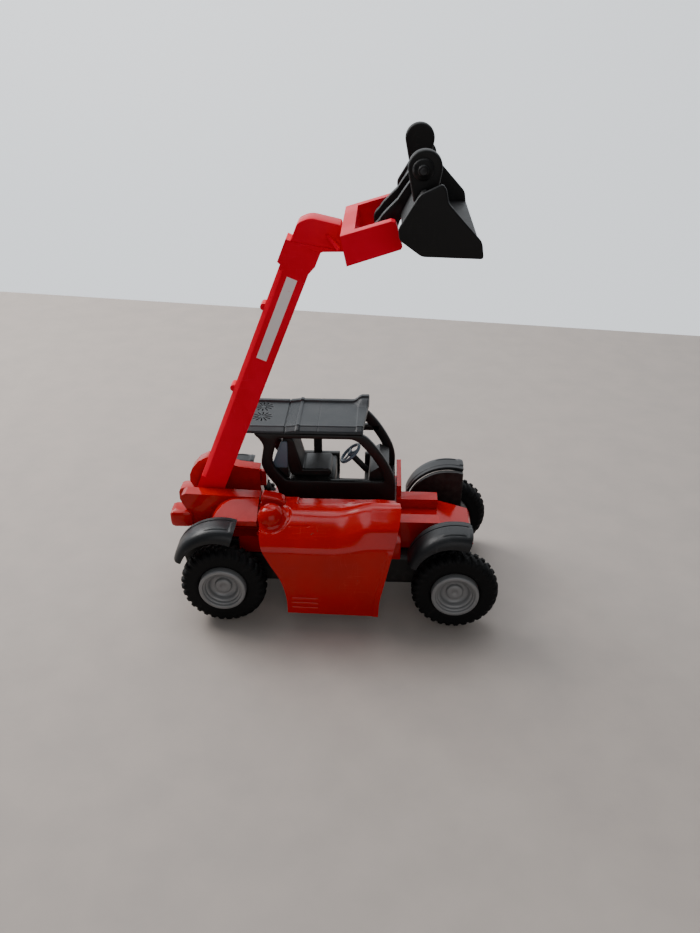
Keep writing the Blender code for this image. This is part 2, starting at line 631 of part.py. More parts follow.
def cab_roof():
    """Roof panel with raised edge rails."""
    low = CAB_TOP + CLEARANCE
    top = low + ROOF_THICKNESS
    rear, front = CAB_REAR - 7.8, CAB_FRONT - 7.8
    base = block("cab_roof", (rear, CAB_NEAR - 0.2, low), (front, CAB_FAR + 0.2, top), 0.3)
    tools = []
    for y in (CAB_NEAR, CAB_FAR - 1.4):
        tools.append(block("edge_rail", (rear + 0.5, y, top - 0.8),
                           (front - 0.2, y + 1.4, top + ROOF_RAIL), 0.2))
    tools.append(block("cross_rib", (rear + 9.9, CAB_NEAR + 0.3, top - 0.8),
                       (rear + 11.5, CAB_FAR - 0.3, top + 0.3)))
    combine(base, "UNION", tools, root)
    finish(base, parts, root, "fender_plastic")


def cab_floor():
    """Inner tub: seat box and dash on a low floor."""
    low = DECK_TOP + CLEARANCE
    inner = CAB_NEAR + CAB_POST + CLEARANCE
    outer = CAB_FAR - CAB_POST - CLEARANCE
    front = CAB_FRONT - 1.4 - CLEARANCE
    base = block("cab_floor", (CAB_REAR + 2.3, inner, low), (front, outer, low + 1.2))
    dash = [(CAB_FRONT - 7.2, low + 0.4), (front, low + 0.4)]
    dash += from_point((CAB_FRONT, SILL_TOP), [(-1.7, 2.2), (-4.2, 3.4), (-6.6, 1.8)])
    tools = [block("seat_box", (CAB_REAR + 2.6, inner, low + 0.4),
                   (CAB_REAR + 14.4, outer, SILL_TOP - 0.4), 0.5),
             prism("dash", dash, "Y", inner, outer)]
    combine(base, "UNION", tools, root)
    step = block("floor_step", (STEP_REAR, STEP_INNER, low - 1.0), (STEP_FRONT, CAB_FAR, SILL_TOP + 1))
    combine(base, "DIFFERENCE", [step], root)
    finish(base, parts, root, "black_plastic")


def driver_seat():
    """Cushion and leaning backrest."""
    seat = SILL_TOP - 0.4 + CLEARANCE
    outline = from_point((CAB_REAR, seat), [(3.2, 0.0), (13.0, 0.0), (13.7, 0.8), (13.0, 2.2), (6.2, 2.0),
                                            (4.0, 10.2), (3.0, 11.0), (1.0, 10.6), (2.3, 3.0)])
    base = prism("driver_seat", outline, "Y", SEAT_MIDDLE - SEAT_HALF_WIDTH, SEAT_MIDDLE + SEAT_HALF_WIDTH)
    finish(base, parts, root, "black_plastic")


def steering():
    """Slanting column that rises from the dash, and the three-spoke wheel on its end."""
    centre = Vector((CAB_FRONT - 11.8, SEAT_MIDDLE, SILL_TOP + 4.4))
    down = Vector((math.cos(STEER_LEAN), 0, -math.sin(STEER_LEAN)))
    start = centre + down * (0.5 + SNUG)
    dash_face = CAB_FRONT - 6.8 + COLUMN_RADIUS * down.z
    length = (dash_face - start.x) / down.x - CLEARANCE
    column = rod("steering_column", start, start + down * length, COLUMN_RADIUS, 16)
    smooth(finish(column, parts, root, "black_plastic"))
    ring = [(STEER_RADIUS + STEER_RIM * math.cos(a), STEER_RIM * math.sin(a))
            for a in (math.tau * (0.125 - i / 8) for i in range(8))]
    wheel_rim = turned("steering_wheel", ring, 28, closed=True)
    spokes = []
    for i in range(3):
        turn = math.tau * (i / 3 + 0.25)
        tip = (STEER_RADIUS * math.cos(turn), STEER_RADIUS * math.sin(turn), 0)
        spokes.append(rod("spoke", (0, 0, -0.1), tip, 0.32, 10))
    spokes.append(rod("hub", (0, 0, -0.5), (0, 0, 0.4), 0.8, 16))
    combine(wheel_rim, "UNION", spokes, root)
    finish(wheel_rim, parts, root, "black_plastic")
    place = Matrix.Translation(centre * MM) @ Matrix.Rotation(STEER_LEAN - math.pi / 2, 4, "Y")
    for obj in [wheel_rim] + spokes:
        obj.matrix_local = place


cab_frame()
cab_roof()
cab_floor()
driver_seat()
steering()


# ---------------------------------------------------------------- boom
def on_boom(along, across):
    """(x, z) of a point given along the boom from its pivot and across it, underside positive."""
    point = Vector(BOOM_PIVOT) + ALONG * along + ACROSS * across
    return (point.x, point.y)


def boom_box(name, along, across, half_width):
    """Straight bar lying along the boom, between two distances and two depths."""
    corners = [on_boom(along[0], across[0]), on_boom(along[0], across[1]),
               on_boom(along[1], across[1]), on_boom(along[1], across[0])]
    return prism(name, corners, "Y", -half_width, half_width)


def boom_outer():
    """Outer boom: hollow box section with a rounded foot, a thicker collar and two stop pegs."""
    depth = BOOM_HALF_DEPTH
    collar = BOOM_LENGTH - COLLAR_LENGTH
    foot = [on_boom(-depth * math.cos(a), -depth * math.sin(a))
            for a in (math.pi * (i / 8 - 0.5) for i in range(9))]
    outline = foot + [on_boom(collar, -depth), on_boom(collar + 0.3, -depth - COLLAR_STEP),
                      on_boom(BOOM_LENGTH, -depth - COLLAR_STEP),
                      on_boom(BOOM_LENGTH, depth + COLLAR_STEP),
                      on_boom(collar + 2.4, depth + COLLAR_STEP), on_boom(collar + 0.4, depth)]
    base = prism("boom_outer", outline, "Y", -BOOM_HALF_WIDTH, BOOM_HALF_WIDTH)
    pegs = []
    for along in PEG_PLACES:
        x, z = on_boom(along, -depth - 0.1)
        pegs.append(rod("stop_peg", (x, -1.5, z), (x, 1.5, z), BOOM_WALL - 0.1, 16))
    combine(base, "UNION", pegs, lift)
    cuts = [boom_box("boom_bore", (8.0, BOOM_LENGTH + 2), (-depth + BOOM_WALL, depth - BOOM_WALL),
                     BOOM_HALF_WIDTH - BOOM_WALL),
            rod("foot_bore", (BOOM_PIVOT[0], -6, BOOM_PIVOT[1]), (BOOM_PIVOT[0], 6, BOOM_PIVOT[1]),
                PIVOT_PIN_RADIUS + SNUG)]
    combine(base, "DIFFERENCE", cuts + [boom_chamfer(side) for side in (-1, 1)], lift)
    finish(base, parts, lift, "boom_plastic")


def boom_chamfer(side):
    """Bar that takes off one long rear edge of the outer boom at 45 degrees."""
    bm = bmesh.new()
    bmesh.ops.create_cube(bm, size=1.0)
    width = BOOM_CHAMFER * math.sqrt(2)
    bmesh.ops.scale(bm, vec=(BOOM_LENGTH - COLLAR_LENGTH - 8, width, width), verts=bm.verts)
    lean = Matrix.Rotation(-BOOM_ANGLE, 4, "Y") @ Matrix.Rotation(math.pi / 4, 4, "X")
    x, z = on_boom((BOOM_LENGTH - COLLAR_LENGTH) / 2 + 3.0, -BOOM_HALF_DEPTH)
    move = Matrix.Translation((x, side * BOOM_HALF_WIDTH, z))
    bmesh.ops.transform(bm, matrix=move @ lean, verts=bm.verts)
    return from_bmesh("rear_edge", bm)


def boom_inner():
    """Inner boom that slides in the outer one, with the bent head at its end."""
    seam = BOOM_LENGTH + CLEARANCE
    edge = BOOM_HALF_DEPTH + COLLAR_STEP - 0.1
    bend = from_point(BOOM_END, [(-1.52, 4.1), (1.78, 5.4), (8.08, 4.6), (9.43, -1.1)])
    head = [on_boom(seam, -edge)] + bend + [on_boom(seam + 0.25, edge + 0.39), on_boom(seam, edge)]
    base = prism("boom_inner", head, "Y", -BOOM_HALF_WIDTH, BOOM_HALF_WIDTH)
    inside = BOOM_WALL + CLEARANCE
    bar = boom_box("inner_bar", (INNER_START, seam + 2.0),
                   (-BOOM_HALF_DEPTH + inside, BOOM_HALF_DEPTH - inside), BOOM_HALF_WIDTH - inside)
    combine(base, "UNION", [bar], reach)
    finish(base, parts, reach, "boom_plastic")


def boom_pin():
    """Steel pin through the boom's foot and the body's two cheeks."""
    half = CHEEK_OUT - PIN_CAP - CLEARANCE
    x, z = BOOM_PIVOT
    obj = rod("boom_pivot_pin", (x, -half, z), (x, half, z), PIVOT_PIN_RADIUS)
    smooth(finish(obj, parts, root, "bright_steel"))


boom_outer()
boom_inner()
boom_pin()


# ---------------------------------------------------------------- tool carrier and bucket
def tool_carrier():
    """U-shaped carrier on the boom head: back plate and two arms with blind pin holes."""
    outline = from_point(TILT_PIVOT, [(-8.95, 0.5), (1.2, 3.6), (2.0, 3.4), (2.4, 2.7), (3.6, -1.5),
                                      (3.3, -2.0), (-7.6, -5.6)])
    base = prism("tool_carrier", outline, "Y", -CARRIER_HALF_WIDTH, CARRIER_HALF_WIDTH)
    inside = CARRIER_HALF_WIDTH - CARRIER_WALL
    gap = from_point(TILT_PIVOT, [(-6.4, 3.0), (-4.8, -6.5), (5.7, -6.5), (5.7, 5.5), (-6.9, 5.5)])
    pin = TILT_PIN_RADIUS + SNUG
    x, z = TILT_PIVOT
    reach_in = CARRIER_HALF_WIDTH - PIN_CAP
    cuts = [prism("arm_gap", gap, "Y", -inside, inside),
            rod("pin_bore", (x, -reach_in, z), (x, reach_in, z), pin)]
    combine(base, "DIFFERENCE", cuts, reach)
    finish(base, parts, reach, "boom_plastic")


def tilt_pin():
    """Pin across the carrier's arms that the bucket turns on."""
    half = CARRIER_HALF_WIDTH - PIN_CAP - CLEARANCE
    x, z = TILT_PIVOT
    obj = rod("bucket_pivot_pin", (x, -half, z), (x, half, z), TILT_PIN_RADIUS)
    smooth(finish(obj, parts, reach, "bright_steel"))


def bucket():
    """Bucket: back and floor between two side plates, two upper ears and two hinge lugs."""
    side_in = BUCKET_HALF_WIDTH - BUCKET_WALL
    outer = from_point(TILT_PIVOT, [(3.1, 3.6), (6.7, 10.9), (10.6, 12.7), (11.5, 9.5), (18.4, 2.4),
                                    (18.9, -1.0), (7.0, -0.6)])
    base = prism("bucket", outer, "Y", -BUCKET_HALF_WIDTH, BUCKET_HALF_WIDTH)
    wall = BUCKET_WALL
    inside = from_point(TILT_PIVOT, [(3.1 + 1.35 * wall, 3.6 + 0.1 * wall), (6.7 + 0.75 * wall, 10.1),
                                     (7.7, 16.5), (24.7, 16.5), (24.7, wall - 1.0),
                                     (7.0 + 0.5 * wall, wall - 0.6)])
    combine(base, "DIFFERENCE", [prism("bucket_room", inside, "Y", -side_in, side_in)], tilt)
    x, z = TILT_PIVOT[0] + 7.3, TILT_PIVOT[1] + 14.7
    ear = from_point((x, z), [(-2.0, -6.2), (2.4, -5.2)]) + arc((x, z), EAR_RADIUS, -10, 190, 12)
    rib = arc((x + 0.2, z), 2.0, 0, 180, 8) + from_point((x, z), [(-1.9, -5.2), (1.7, -4.6)])
    px, pz = TILT_PIVOT
    lug = arc((px, pz), 2.5, 180, 330, 10)
    lug += from_point(TILT_PIVOT, [(3.5, 3.7), (7.0, 10.5), (5.3, 11.4), (3.7, 6.8), (-3.4, 2.6)])
    tools = []
    for side in (-1, 1):
        low, high = sorted((side * EAR_INNER, side * (EAR_INNER + EAR_WALL)))
        tools.append(prism("ear", ear, "Y", low, high))
        low, high = sorted((side * (EAR_INNER + 1), side * (EAR_INNER + EAR_WALL + 2.0)))
        tools.append(prism("ear_rib", rib, "Y", low, high))
        low, high = sorted((side * LUG_INNER, side * (LUG_INNER + LUG_WALL)))
        tools.append(prism("hinge_lug", lug, "Y", low, high))
    combine(base, "UNION", tools, tilt)
    bore = rod("lug_bore", (px, -9, pz), (px, 9, pz), TILT_PIN_RADIUS + SNUG)
    combine(base, "DIFFERENCE", [bore], tilt)
    finish(base, parts, tilt, "black_plastic")


tool_carrier()
tilt_pin()
bucket()
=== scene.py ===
import math

import bmesh
import bpy
import numpy as np
from mathutils import Matrix, Vector


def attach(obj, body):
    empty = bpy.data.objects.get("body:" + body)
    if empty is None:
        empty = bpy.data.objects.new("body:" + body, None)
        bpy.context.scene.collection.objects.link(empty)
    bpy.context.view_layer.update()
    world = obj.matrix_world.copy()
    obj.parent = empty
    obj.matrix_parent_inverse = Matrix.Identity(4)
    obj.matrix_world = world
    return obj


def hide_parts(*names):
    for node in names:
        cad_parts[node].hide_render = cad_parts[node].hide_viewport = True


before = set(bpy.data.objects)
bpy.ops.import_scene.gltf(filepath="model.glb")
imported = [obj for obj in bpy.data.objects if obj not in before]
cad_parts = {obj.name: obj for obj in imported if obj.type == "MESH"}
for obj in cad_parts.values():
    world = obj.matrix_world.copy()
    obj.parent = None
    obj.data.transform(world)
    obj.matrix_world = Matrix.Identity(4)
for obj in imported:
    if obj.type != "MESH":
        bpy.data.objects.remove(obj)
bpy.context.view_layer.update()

MM = 0.001
ORIGIN = np.array([2.0, 0.0, 0.0])   # design zero is under the middle of the wheelbase
HALF_BASE = 28.0
TYRE_RADIUS = 10.5
TYRE_MIDDLE = 17.45                   # tyre's middle plane, out from the vehicle's middle
ALONG = np.array([math.cos(math.radians(68)), math.sin(math.radians(68))])
ACROSS = np.array([ALONG[1], -ALONG[0]])
BOOM_PIVOT = np.array([-34.3, 24.2])
COLLAR_END = 70.0
HEAD_START = 70.03
BOOM_HALF_WIDTH = 2.8


# ------------------------------------------------------------------ surfaces
def skin(rows, cols, wrap_rows=False, wrap_cols=False):
    """Quads over a grid of rows by cols points, joined round where it wraps."""
    i = np.arange(rows if wrap_rows else rows - 1)[:, None]
    j = np.arange(cols if wrap_cols else cols - 1)[None, :]
    i2, j2 = (i + 1) % rows, (j + 1) % cols
    quads = np.stack([i * cols + j + 0 * j2, i * cols + j2, i2 * cols + j2, i2 * cols + j], -1)
    return quads.reshape(-1, 4).tolist()


def joined(shells):
    """One list of points and faces from several closed shells."""
    points, faces, start = [], [], 0
    for p, f in shells:
        p = np.asarray(p, float).reshape(-1, 3)
        points.append(p)
        faces += [[v + start for v in face] for face in f]
        start += len(p)
    return np.concatenate(points), faces


def piece(name, shells, body, material, nodes=(), crease=35, turn_out=True):
    """Mesh object of closed shells in design millimetres, riding on a body."""
    points, faces = joined(shells)
    mesh = bpy.data.meshes.new(name)
    mesh.from_pydata(((points + ORIGIN) * MM).tolist(), [], faces)
    if turn_out:
        bm = bmesh.new()
        bm.from_mesh(mesh)
        bmesh.ops.recalc_face_normals(bm, faces=bm.faces)
        bm.to_mesh(mesh)
        bm.free()
    mesh.shade_smooth()
    mesh.set_sharp_from_angle(angle=math.radians(crease))
    obj = bpy.data.objects.new(name, mesh)
    bpy.context.scene.collection.objects.link(obj)
    obj.data.materials.append(material)
    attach(obj, body)
    if nodes:
        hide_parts(*nodes)
    return obj


def eased(low, high, x):
    """0 below low, 1 above high, and a smooth step between them."""
    t = np.clip((x - low) / (high - low), 0, 1)
    return t * t * (3 - 2 * t)


def ridge(x, place, half, soft=0.12):
    """1 inside a band of half width round a place, falling to 0 over a soft edge."""
    return 1 - eased(half, half + soft, np.abs(x - place))


def rounded(outline, radius, steps=4, closed=True):
    """Outline with each corner turned into a short curve: a parabola between two points on its sides."""
    p = np.asarray(outline, float)
    radii = np.broadcast_to(np.asarray(radius, float), len(p))
    before, after = np.roll(p, 1, 0) - p, np.roll(p, -1, 0) - p
    lb, la = np.linalg.norm(before, axis=1), np.linalg.norm(after, axis=1)
    d = np.minimum(radii, 0.45 * np.minimum(lb, la))
    t = np.linspace(0, 1, steps)[None, :, None]
    a = (before / lb[:, None] * d[:, None])[:, None]
    b = (after / la[:, None] * d[:, None])[:, None]
    curve = p[:, None] + (1 - t) ** 2 * a + t ** 2 * b
    if not closed:
        return np.concatenate([p[:1], curve[1:-1].reshape(-1, p.shape[1]), p[-1:]])
    return curve.reshape(-1, p.shape[1])


def inset(outline, distance):
    """Closed flat outline moved inwards by a distance, along the mean of the two side normals."""
    p = np.asarray(outline, float)
    side = np.roll(p, -1, 0) - p
    side /= np.maximum(np.linalg.norm(side, axis=1), 1e-9)[:, None]
    area = 0.5 * np.sum(p[:, 0] * np.roll(p[:, 1], -1) - np.roll(p[:, 0], -1) * p[:, 1])
    normal = np.stack([-side[:, 1], side[:, 0]], 1) * np.sign(area)
    mean = normal + np.roll(normal, 1, 0)
    scale = np.maximum(np.sum(mean * normal, axis=1), 0.4)
    return p + mean / scale[:, None] * distance


def plate(outline, low, high, edge=0.3, corner=0.4, steps=3, axis="Y", corner_steps=4, butt=None):
    """Flat outline given a thickness, with round rims: it shrinks by edge(1 - sin a) as it nears each face.

    butt is a side that stays square, given as a direction and the outline's distance that way.
    """
    o = rounded(outline, corner, corner_steps)
    a = np.linspace(0, math.pi / 2, steps + 1)
    depth = np.concatenate([low + edge * (1 - np.cos(a)), high - edge * (1 - np.cos(a[::-1]))])
    shrink = np.concatenate([edge * (1 - np.sin(a)), edge * (1 - np.sin(a[::-1]))])
    rings = []
    for y, s in zip(depth, shrink):
        flat = inset(o, s)
        if butt:
            way, reach = butt
            square = np.abs(o @ way - reach) < 0.03
            flat[square] += (reach - flat[square] @ way)[:, None] * way
        level = np.full(len(o), y)
        rings.append(placed(flat[:, 0], flat[:, 1], level, axis))
    points = np.array(rings)
    return capped(points)


def placed(a, b, level, axis):
    """Points of a flat drawing laid across an axis."""
    if axis == "Y":
        return np.stack([a, level, b], -1)
    if axis == "X":
        return np.stack([level, a, b], -1)
    return np.stack([a, b, level], -1)


def capped(points):
    """Closed skin round a stack of rings, each end shut by one flat face."""
    rows, cols = points.shape[:2]
    faces = skin(rows, cols, wrap_cols=True)
    faces.append(list(range(cols))[::-1])
    faces.append([(rows - 1) * cols + i for i in range(cols)])
    return points.reshape(-1, 3), faces


def turned(profile, centre, axis=(0, 0, 1), steps=64, closed=False):
    """Profile of (radius, height) carried round an axis through a centre; poles are shut by a fan."""
    profile = np.asarray(profile, float)
    axis = np.asarray(axis, float) / np.linalg.norm(axis)
    helper = np.array([0, 1, 0]) if abs(axis[1]) < 0.9 else np.array([1, 0, 0])
    e1 = np.cross(axis, helper)
    e1 /= np.linalg.norm(e1)
    e2 = np.cross(axis, e1)
    turn = np.linspace(0, math.tau, steps, endpoint=False)
    ray = np.cos(turn)[:, None] * e1 + np.sin(turn)[:, None] * e2
    points = (np.asarray(centre, float) + profile[:, None, :1] * ray[None]
              + profile[:, None, 1:] * axis)
    if closed:
        return points.reshape(-1, 3), skin(len(profile), steps, wrap_rows=True, wrap_cols=True)
    return capped(points)


def bar(path, width, height, corner=0.3, up=(0, 1, 0), steps=4):
    """Rounded rectangle carried along a path; width lies along up, height across it and the path."""
    path = np.asarray(path, float)
    way = np.gradient(path, axis=0)
    way /= np.linalg.norm(way, axis=1)[:, None]
    first = np.asarray(up, float) - way * (way @ np.asarray(up, float))[:, None]
    first /= np.linalg.norm(first, axis=1)[:, None]
    second = np.cross(way, first)
    w, h = width / 2, height / 2
    section = rounded([(-w, -h), (w, -h), (w, h), (-w, h)], corner, steps)
    ring = lambda i, s: path[i] + inset(section, s)[:, :1] * first[i] + inset(section, s)[:, 1:] * second[i]
    lip = min(corner, 0.2)
    rows = [ring(0, lip)] + [ring(i, 0) for i in range(len(path))] + [ring(len(path) - 1, lip)]
    rows[0] -= way[0] * lip * 0.5
    rows[-1] += way[-1] * lip * 0.5
    return capped(np.array(rows))


def framed(outer, inner, low, high, edge=0.45, steps=4, closed=True):
    """Bar between two matching outlines, its section a rectangle with round corners."""
    a = np.linspace(0, math.pi / 2, steps)
    soon, late = edge * (1 - np.cos(a)), edge * (1 - np.sin(a))
    share = np.repeat([0.0, 1.0, 1.0, 0.0], steps)
    slide = np.concatenate([soon, -late, -soon, late])
    level = np.concatenate([low + late, low + soon, high - late, high - soon])
    outer, inner = np.asarray(outer, float), np.asarray(inner, float)
    way = inner - outer
    length = np.linalg.norm(way, axis=1)[:, None]
    at = outer[:, None] + (way / length)[:, None] * (share * length + slide)[..., None]
    points = placed(at[..., 0], at[..., 1], level + 0 * at[..., 0], "Y")
    if closed:
        return points.reshape(-1, 3), skin(len(outer), len(level), wrap_rows=True, wrap_cols=True)
    return capped(points)


def crossings(outline, eye, turn):
    """Where rays from a point inside an outline, at the given angles, first cross its sides."""
    p = np.asarray(outline, float) - eye
    e = (np.roll(p, -1, 0) - p)[None]
    d = np.stack([np.cos(turn), np.sin(turn)], -1)
    dx, dy = d[:, :1], d[:, 1:]
    turning = dx * e[..., 1] - dy * e[..., 0]
    turning = np.where(np.abs(turning) < 1e-9, 1e-9, turning)
    reach = (p[:, 0] * e[..., 1] - p[:, 1] * e[..., 0]) / turning
    share = (p[:, 0] * dy - p[:, 1] * dx) / turning
    hit = (share > -1e-6) & (share < 1 + 1e-6) & (reach > 0)
    return eye + d * np.where(hit, reach, np.inf).min(1)[:, None]


def sandwich(outer, inner):
    """Closed skin round two matching grids of points."""
    rows, cols = outer.shape[:2]
    points = np.concatenate([outer.reshape(-1, 3), inner.reshape(-1, 3)])
    count = rows * cols
    faces = skin(rows, cols)
    faces += [[f + count for f in face[::-1]] for face in skin(rows, cols)]
    index = np.arange(count).reshape(rows, cols)
    rim = np.concatenate([index[0, :], index[1:, -1], index[-1, -2::-1], index[-2:0:-1, 0]])
    after = np.roll(rim, -1)
    faces += np.stack([rim, rim + count, after + count, after], 1).tolist()
    return points, faces


def slab(rear, front, y_ends, low, height, rows, cols, rim=0.35):
    """Panel whose upper face is a height over (x, y), rounded down by a quarter circle at its rims."""
    y = np.linspace(*y_ends, cols)[None, :]
    x = rear + (front(y) - rear) * np.linspace(0, 1, rows)[:, None]
    near = np.minimum(np.minimum(x - rear, front(y) - x), np.minimum(y - y_ends[0], y_ends[1] - y))
    fall = rim * (1 - np.sqrt(1 - (1 - np.clip(near / rim, 0, 1)) ** 2))
    upper = np.stack([x, y + 0 * x, height(x, y) - fall], -1)
    lower = upper.copy()
    lower[..., 2] = low
    return sandwich(upper, lower)


def shell(outer, wall):
    """Sheet from a grid of points, thickened inwards along its own normals and shut at its rims."""
    u, v = np.gradient(outer, axis=0), np.gradient(outer, axis=1)
    normal = np.cross(u, v)
    normal /= np.linalg.norm(normal, axis=-1)[..., None]
    return sandwich(outer, outer - normal * wall)


def softened(node, body, width, material, segments=2, square=lambda point: False):
    """Copy of a CAD solid, its triangles merged into flat faces and its edges rounded unless kept square."""
    bm = bmesh.new()
    bm.from_mesh(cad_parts[node].data)
    bmesh.ops.remove_doubles(bm, verts=bm.verts, dist=2e-6)
    bmesh.ops.dissolve_limit(bm, angle_limit=math.radians(1), verts=bm.verts, edges=bm.edges)
    weight = bm.edges.layers.float.new("bevel_weight_edge")
    for side in bm.edges:
        bent = side.calc_face_angle(0) > math.radians(25)
        side[weight] = float(bent and not all(square(np.array(v.co) / MM - ORIGIN) for v in side.verts))
    mesh = bpy.data.meshes.new(node + "_soft")
    bm.to_mesh(mesh)
    bm.free()
    obj = bpy.data.objects.new(node + "_moulded", mesh)
    bpy.context.scene.collection.objects.link(obj)
    mesh.shade_smooth()
    mesh.set_sharp_from_angle(angle=math.radians(30))
    edge = obj.modifiers.new("round_edges", "BEVEL")
    edge.width = width * MM
    edge.segments = segments
    edge.limit_method = "WEIGHT"
    edge.use_clamp_overlap = True
    edge.harden_normals = True
    mesh.materials.append(material)
    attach(obj, body)
    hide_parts(node)
    return obj


# ------------------------------------------------------------------ materials
def link(tree, value, socket):
    """Join a socket to another node's output, or give it a plain value."""
    if isinstance(value, bpy.types.NodeSocket):
        tree.links.new(value, socket)
    else:
        socket.default_value = value


def node(tree, kind, inputs=(), **settings):
    """New node with its settings and inputs, given by name or by number."""
    made = tree.nodes.new("ShaderNode" + kind)
    for key, value in settings.items():
        setattr(made, key, value)
    for key, value in dict(inputs).items():
        link(tree, value, made.inputs[key])
    return made


def maths(tree, operation, a, b=0.0):
    """Math node's output."""
    return node(tree, "Math", {0: a, 1: b}, operation=operation).outputs[0]


def span(tree, value, low, high, to_low=0.0, to_high=1.0):
    """Map Range node's output, clamped."""
    return node(tree, "MapRange", {"Value": value, "From Min": low, "From Max": high,
                                   "To Min": to_low, "To Max": to_high}).outputs[0]


def blended(tree, mask, a, b):
    """Colour a where the mask is 0 and b where it is 1."""
    mix = node(tree, "Mix", data_type="RGBA")
    link(tree, mask, mix.inputs[0])
    link(tree, a, mix.inputs[6])
    link(tree, b, mix.inputs[7])
    return mix.outputs[2]


def effect(name, ins, outs, build):
    """Node group with named value inputs and outputs, filled in by a build function."""
    group = bpy.data.node_groups.new(name, "ShaderNodeTree")
    for key, value in ins.items():
        kind = "NodeSocketVector" if isinstance(value, tuple) else "NodeSocketFloat"
        made = group.interface.new_socket(key, in_out="INPUT", socket_type=kind)
        made.default_value = value
    for key in outs:
        group.interface.new_socket(key, in_out="OUTPUT", socket_type="NodeSocketFloat")
    enter, leave = group.nodes.new("NodeGroupInput"), group.nodes.new("NodeGroupOutput")
    for key, value in build(group, enter.outputs).items():
        group.links.new(value, leave.inputs[key])
    return group


def use(tree, group, **inputs):
    """Place a group in a material with its own values."""
    made = tree.nodes.new("ShaderNodeGroup")
    made.node_tree = group
    for key, value in inputs.items():
        link(tree, value, made.inputs[key.replace("_", " ")])
    return made.outputs


def grain_nodes(tree, at):
    """Fine moulding texture and wide mottling from two noises on the object's own coordinates."""
    here = node(tree, "TexCoord").outputs["Object"]
    fine = node(tree, "TexNoise", {"Vector": here, "Scale": at["Scale"], "Detail": 4.0, "Roughness": 0.6})
    wide = node(tree, "TexNoise", {"Vector": here, "Scale": 90.0, "Detail": 3.0, "Roughness": 0.55})
    return {"Height": fine.outputs[0], "Mottle": span(tree, wide.outputs[0], 0.35, 0.65)}


def wear_nodes(tree, at):
    """Chips where a noise peaks inside worn patches, and thin scratches from stretched noise bands."""
    here = node(tree, "TexCoord").outputs["Object"]
    patch = node(tree, "TexNoise", {"Vector": here, "Scale": 70.0, "Detail": 2.0})
    spots = node(tree, "TexNoise", {"Vector": here, "Scale": at["Chip Scale"], "Detail": 5.0,
                                    "Roughness": 0.7})
    worn = span(tree, patch.outputs[0], 0.52, 0.66)
    peak = maths(tree, "ADD", spots.outputs[0], maths(tree, "MULTIPLY", worn, 0.10))
    level = maths(tree, "SUBTRACT", 0.80, maths(tree, "MULTIPLY", at["Chips"], 0.08))
    chips = span(tree, maths(tree, "SUBTRACT", peak, level), 0.0, 0.012)
    lines = []
    for lean, scale in ((0.5, (60.0, 60.0, 900.0)), (-0.9, (900.0, 90.0, 120.0))):
        turned_by = node(tree, "Mapping", {"Vector": here, "Rotation": (0.3, lean, 0.2), "Scale": scale})
        noise = node(tree, "TexNoise", {"Vector": turned_by.outputs[0], "Scale": 1.0, "Detail": 1.0})
        near = maths(tree, "ABSOLUTE", maths(tree, "SUBTRACT", noise.outputs[0], 0.5))
        lines.append(span(tree, near, 0.0, 0.012, 1.0, 0.0))
    both = maths(tree, "MAXIMUM", lines[0], lines[1])
    scratches = maths(tree, "MULTIPLY", maths(tree, "MULTIPLY", both, worn), at["Scratches"])
    return {"Chips": chips, "Scratches": scratches}


def edge_nodes(tree, at):
    """Rubbed rims and painted edge highlight: where the surface turns a convex corner, broken up by noise."""
    here = node(tree, "TexCoord").outputs["Object"]
    bend = node(tree, "NewGeometry").outputs["Pointiness"]
    noise = node(tree, "TexNoise", {"Vector": here, "Scale": 600.0, "Detail": 3.0})
    rim = span(tree, bend, 0.52, 0.60)
    broken = span(tree, noise.outputs[0], 0.42, 0.60)
    return {"Edge": maths(tree, "MULTIPLY", maths(tree, "MULTIPLY", rim, broken), at["Amount"])}


def dust_nodes(tree, at):
    """Dust that lies on faces that look up, in specks and soft patches."""
    here = node(tree, "TexCoord").outputs["Object"]
    up = node(tree, "SeparateXYZ", {0: node(tree, "NewGeometry").outputs["Normal"]}).outputs[2]
    specks = node(tree, "TexNoise", {"Vector": here, "Scale": 2600.0, "Detail": 3.0, "Roughness": 0.7})
    patch = node(tree, "TexNoise", {"Vector": here, "Scale": 160.0, "Detail": 3.0})
    lying = span(tree, up, 0.2, 0.9)
    grains = maths(tree, "ADD", span(tree, specks.outputs[0], 0.60, 0.72),
                   maths(tree, "MULTIPLY", span(tree, patch.outputs[0], 0.45, 0.75), 0.35))
    return {"Dust": maths(tree, "MULTIPLY", maths(tree, "MULTIPLY", lying, grains), at["Amount"])}


GRAIN = effect("Moulded Grain", {"Scale": 1500.0}, ("Height", "Mottle"), grain_nodes)
WEAR = effect("Chips and Scratches", {"Chip Scale": 500.0, "Chips": 1.0, "Scratches": 1.0},
              ("Chips", "Scratches"), wear_nodes)
# Edge mask for paler convex rims: partly rubbed wear, partly a painted highlight.
EDGE = effect("Rubbed Edges and Painted Highlight", {"Amount": 1.0}, ("Edge",), edge_nodes)
DUST = effect("Lying Dust", {"Amount": 1.0}, ("Dust",), dust_nodes)


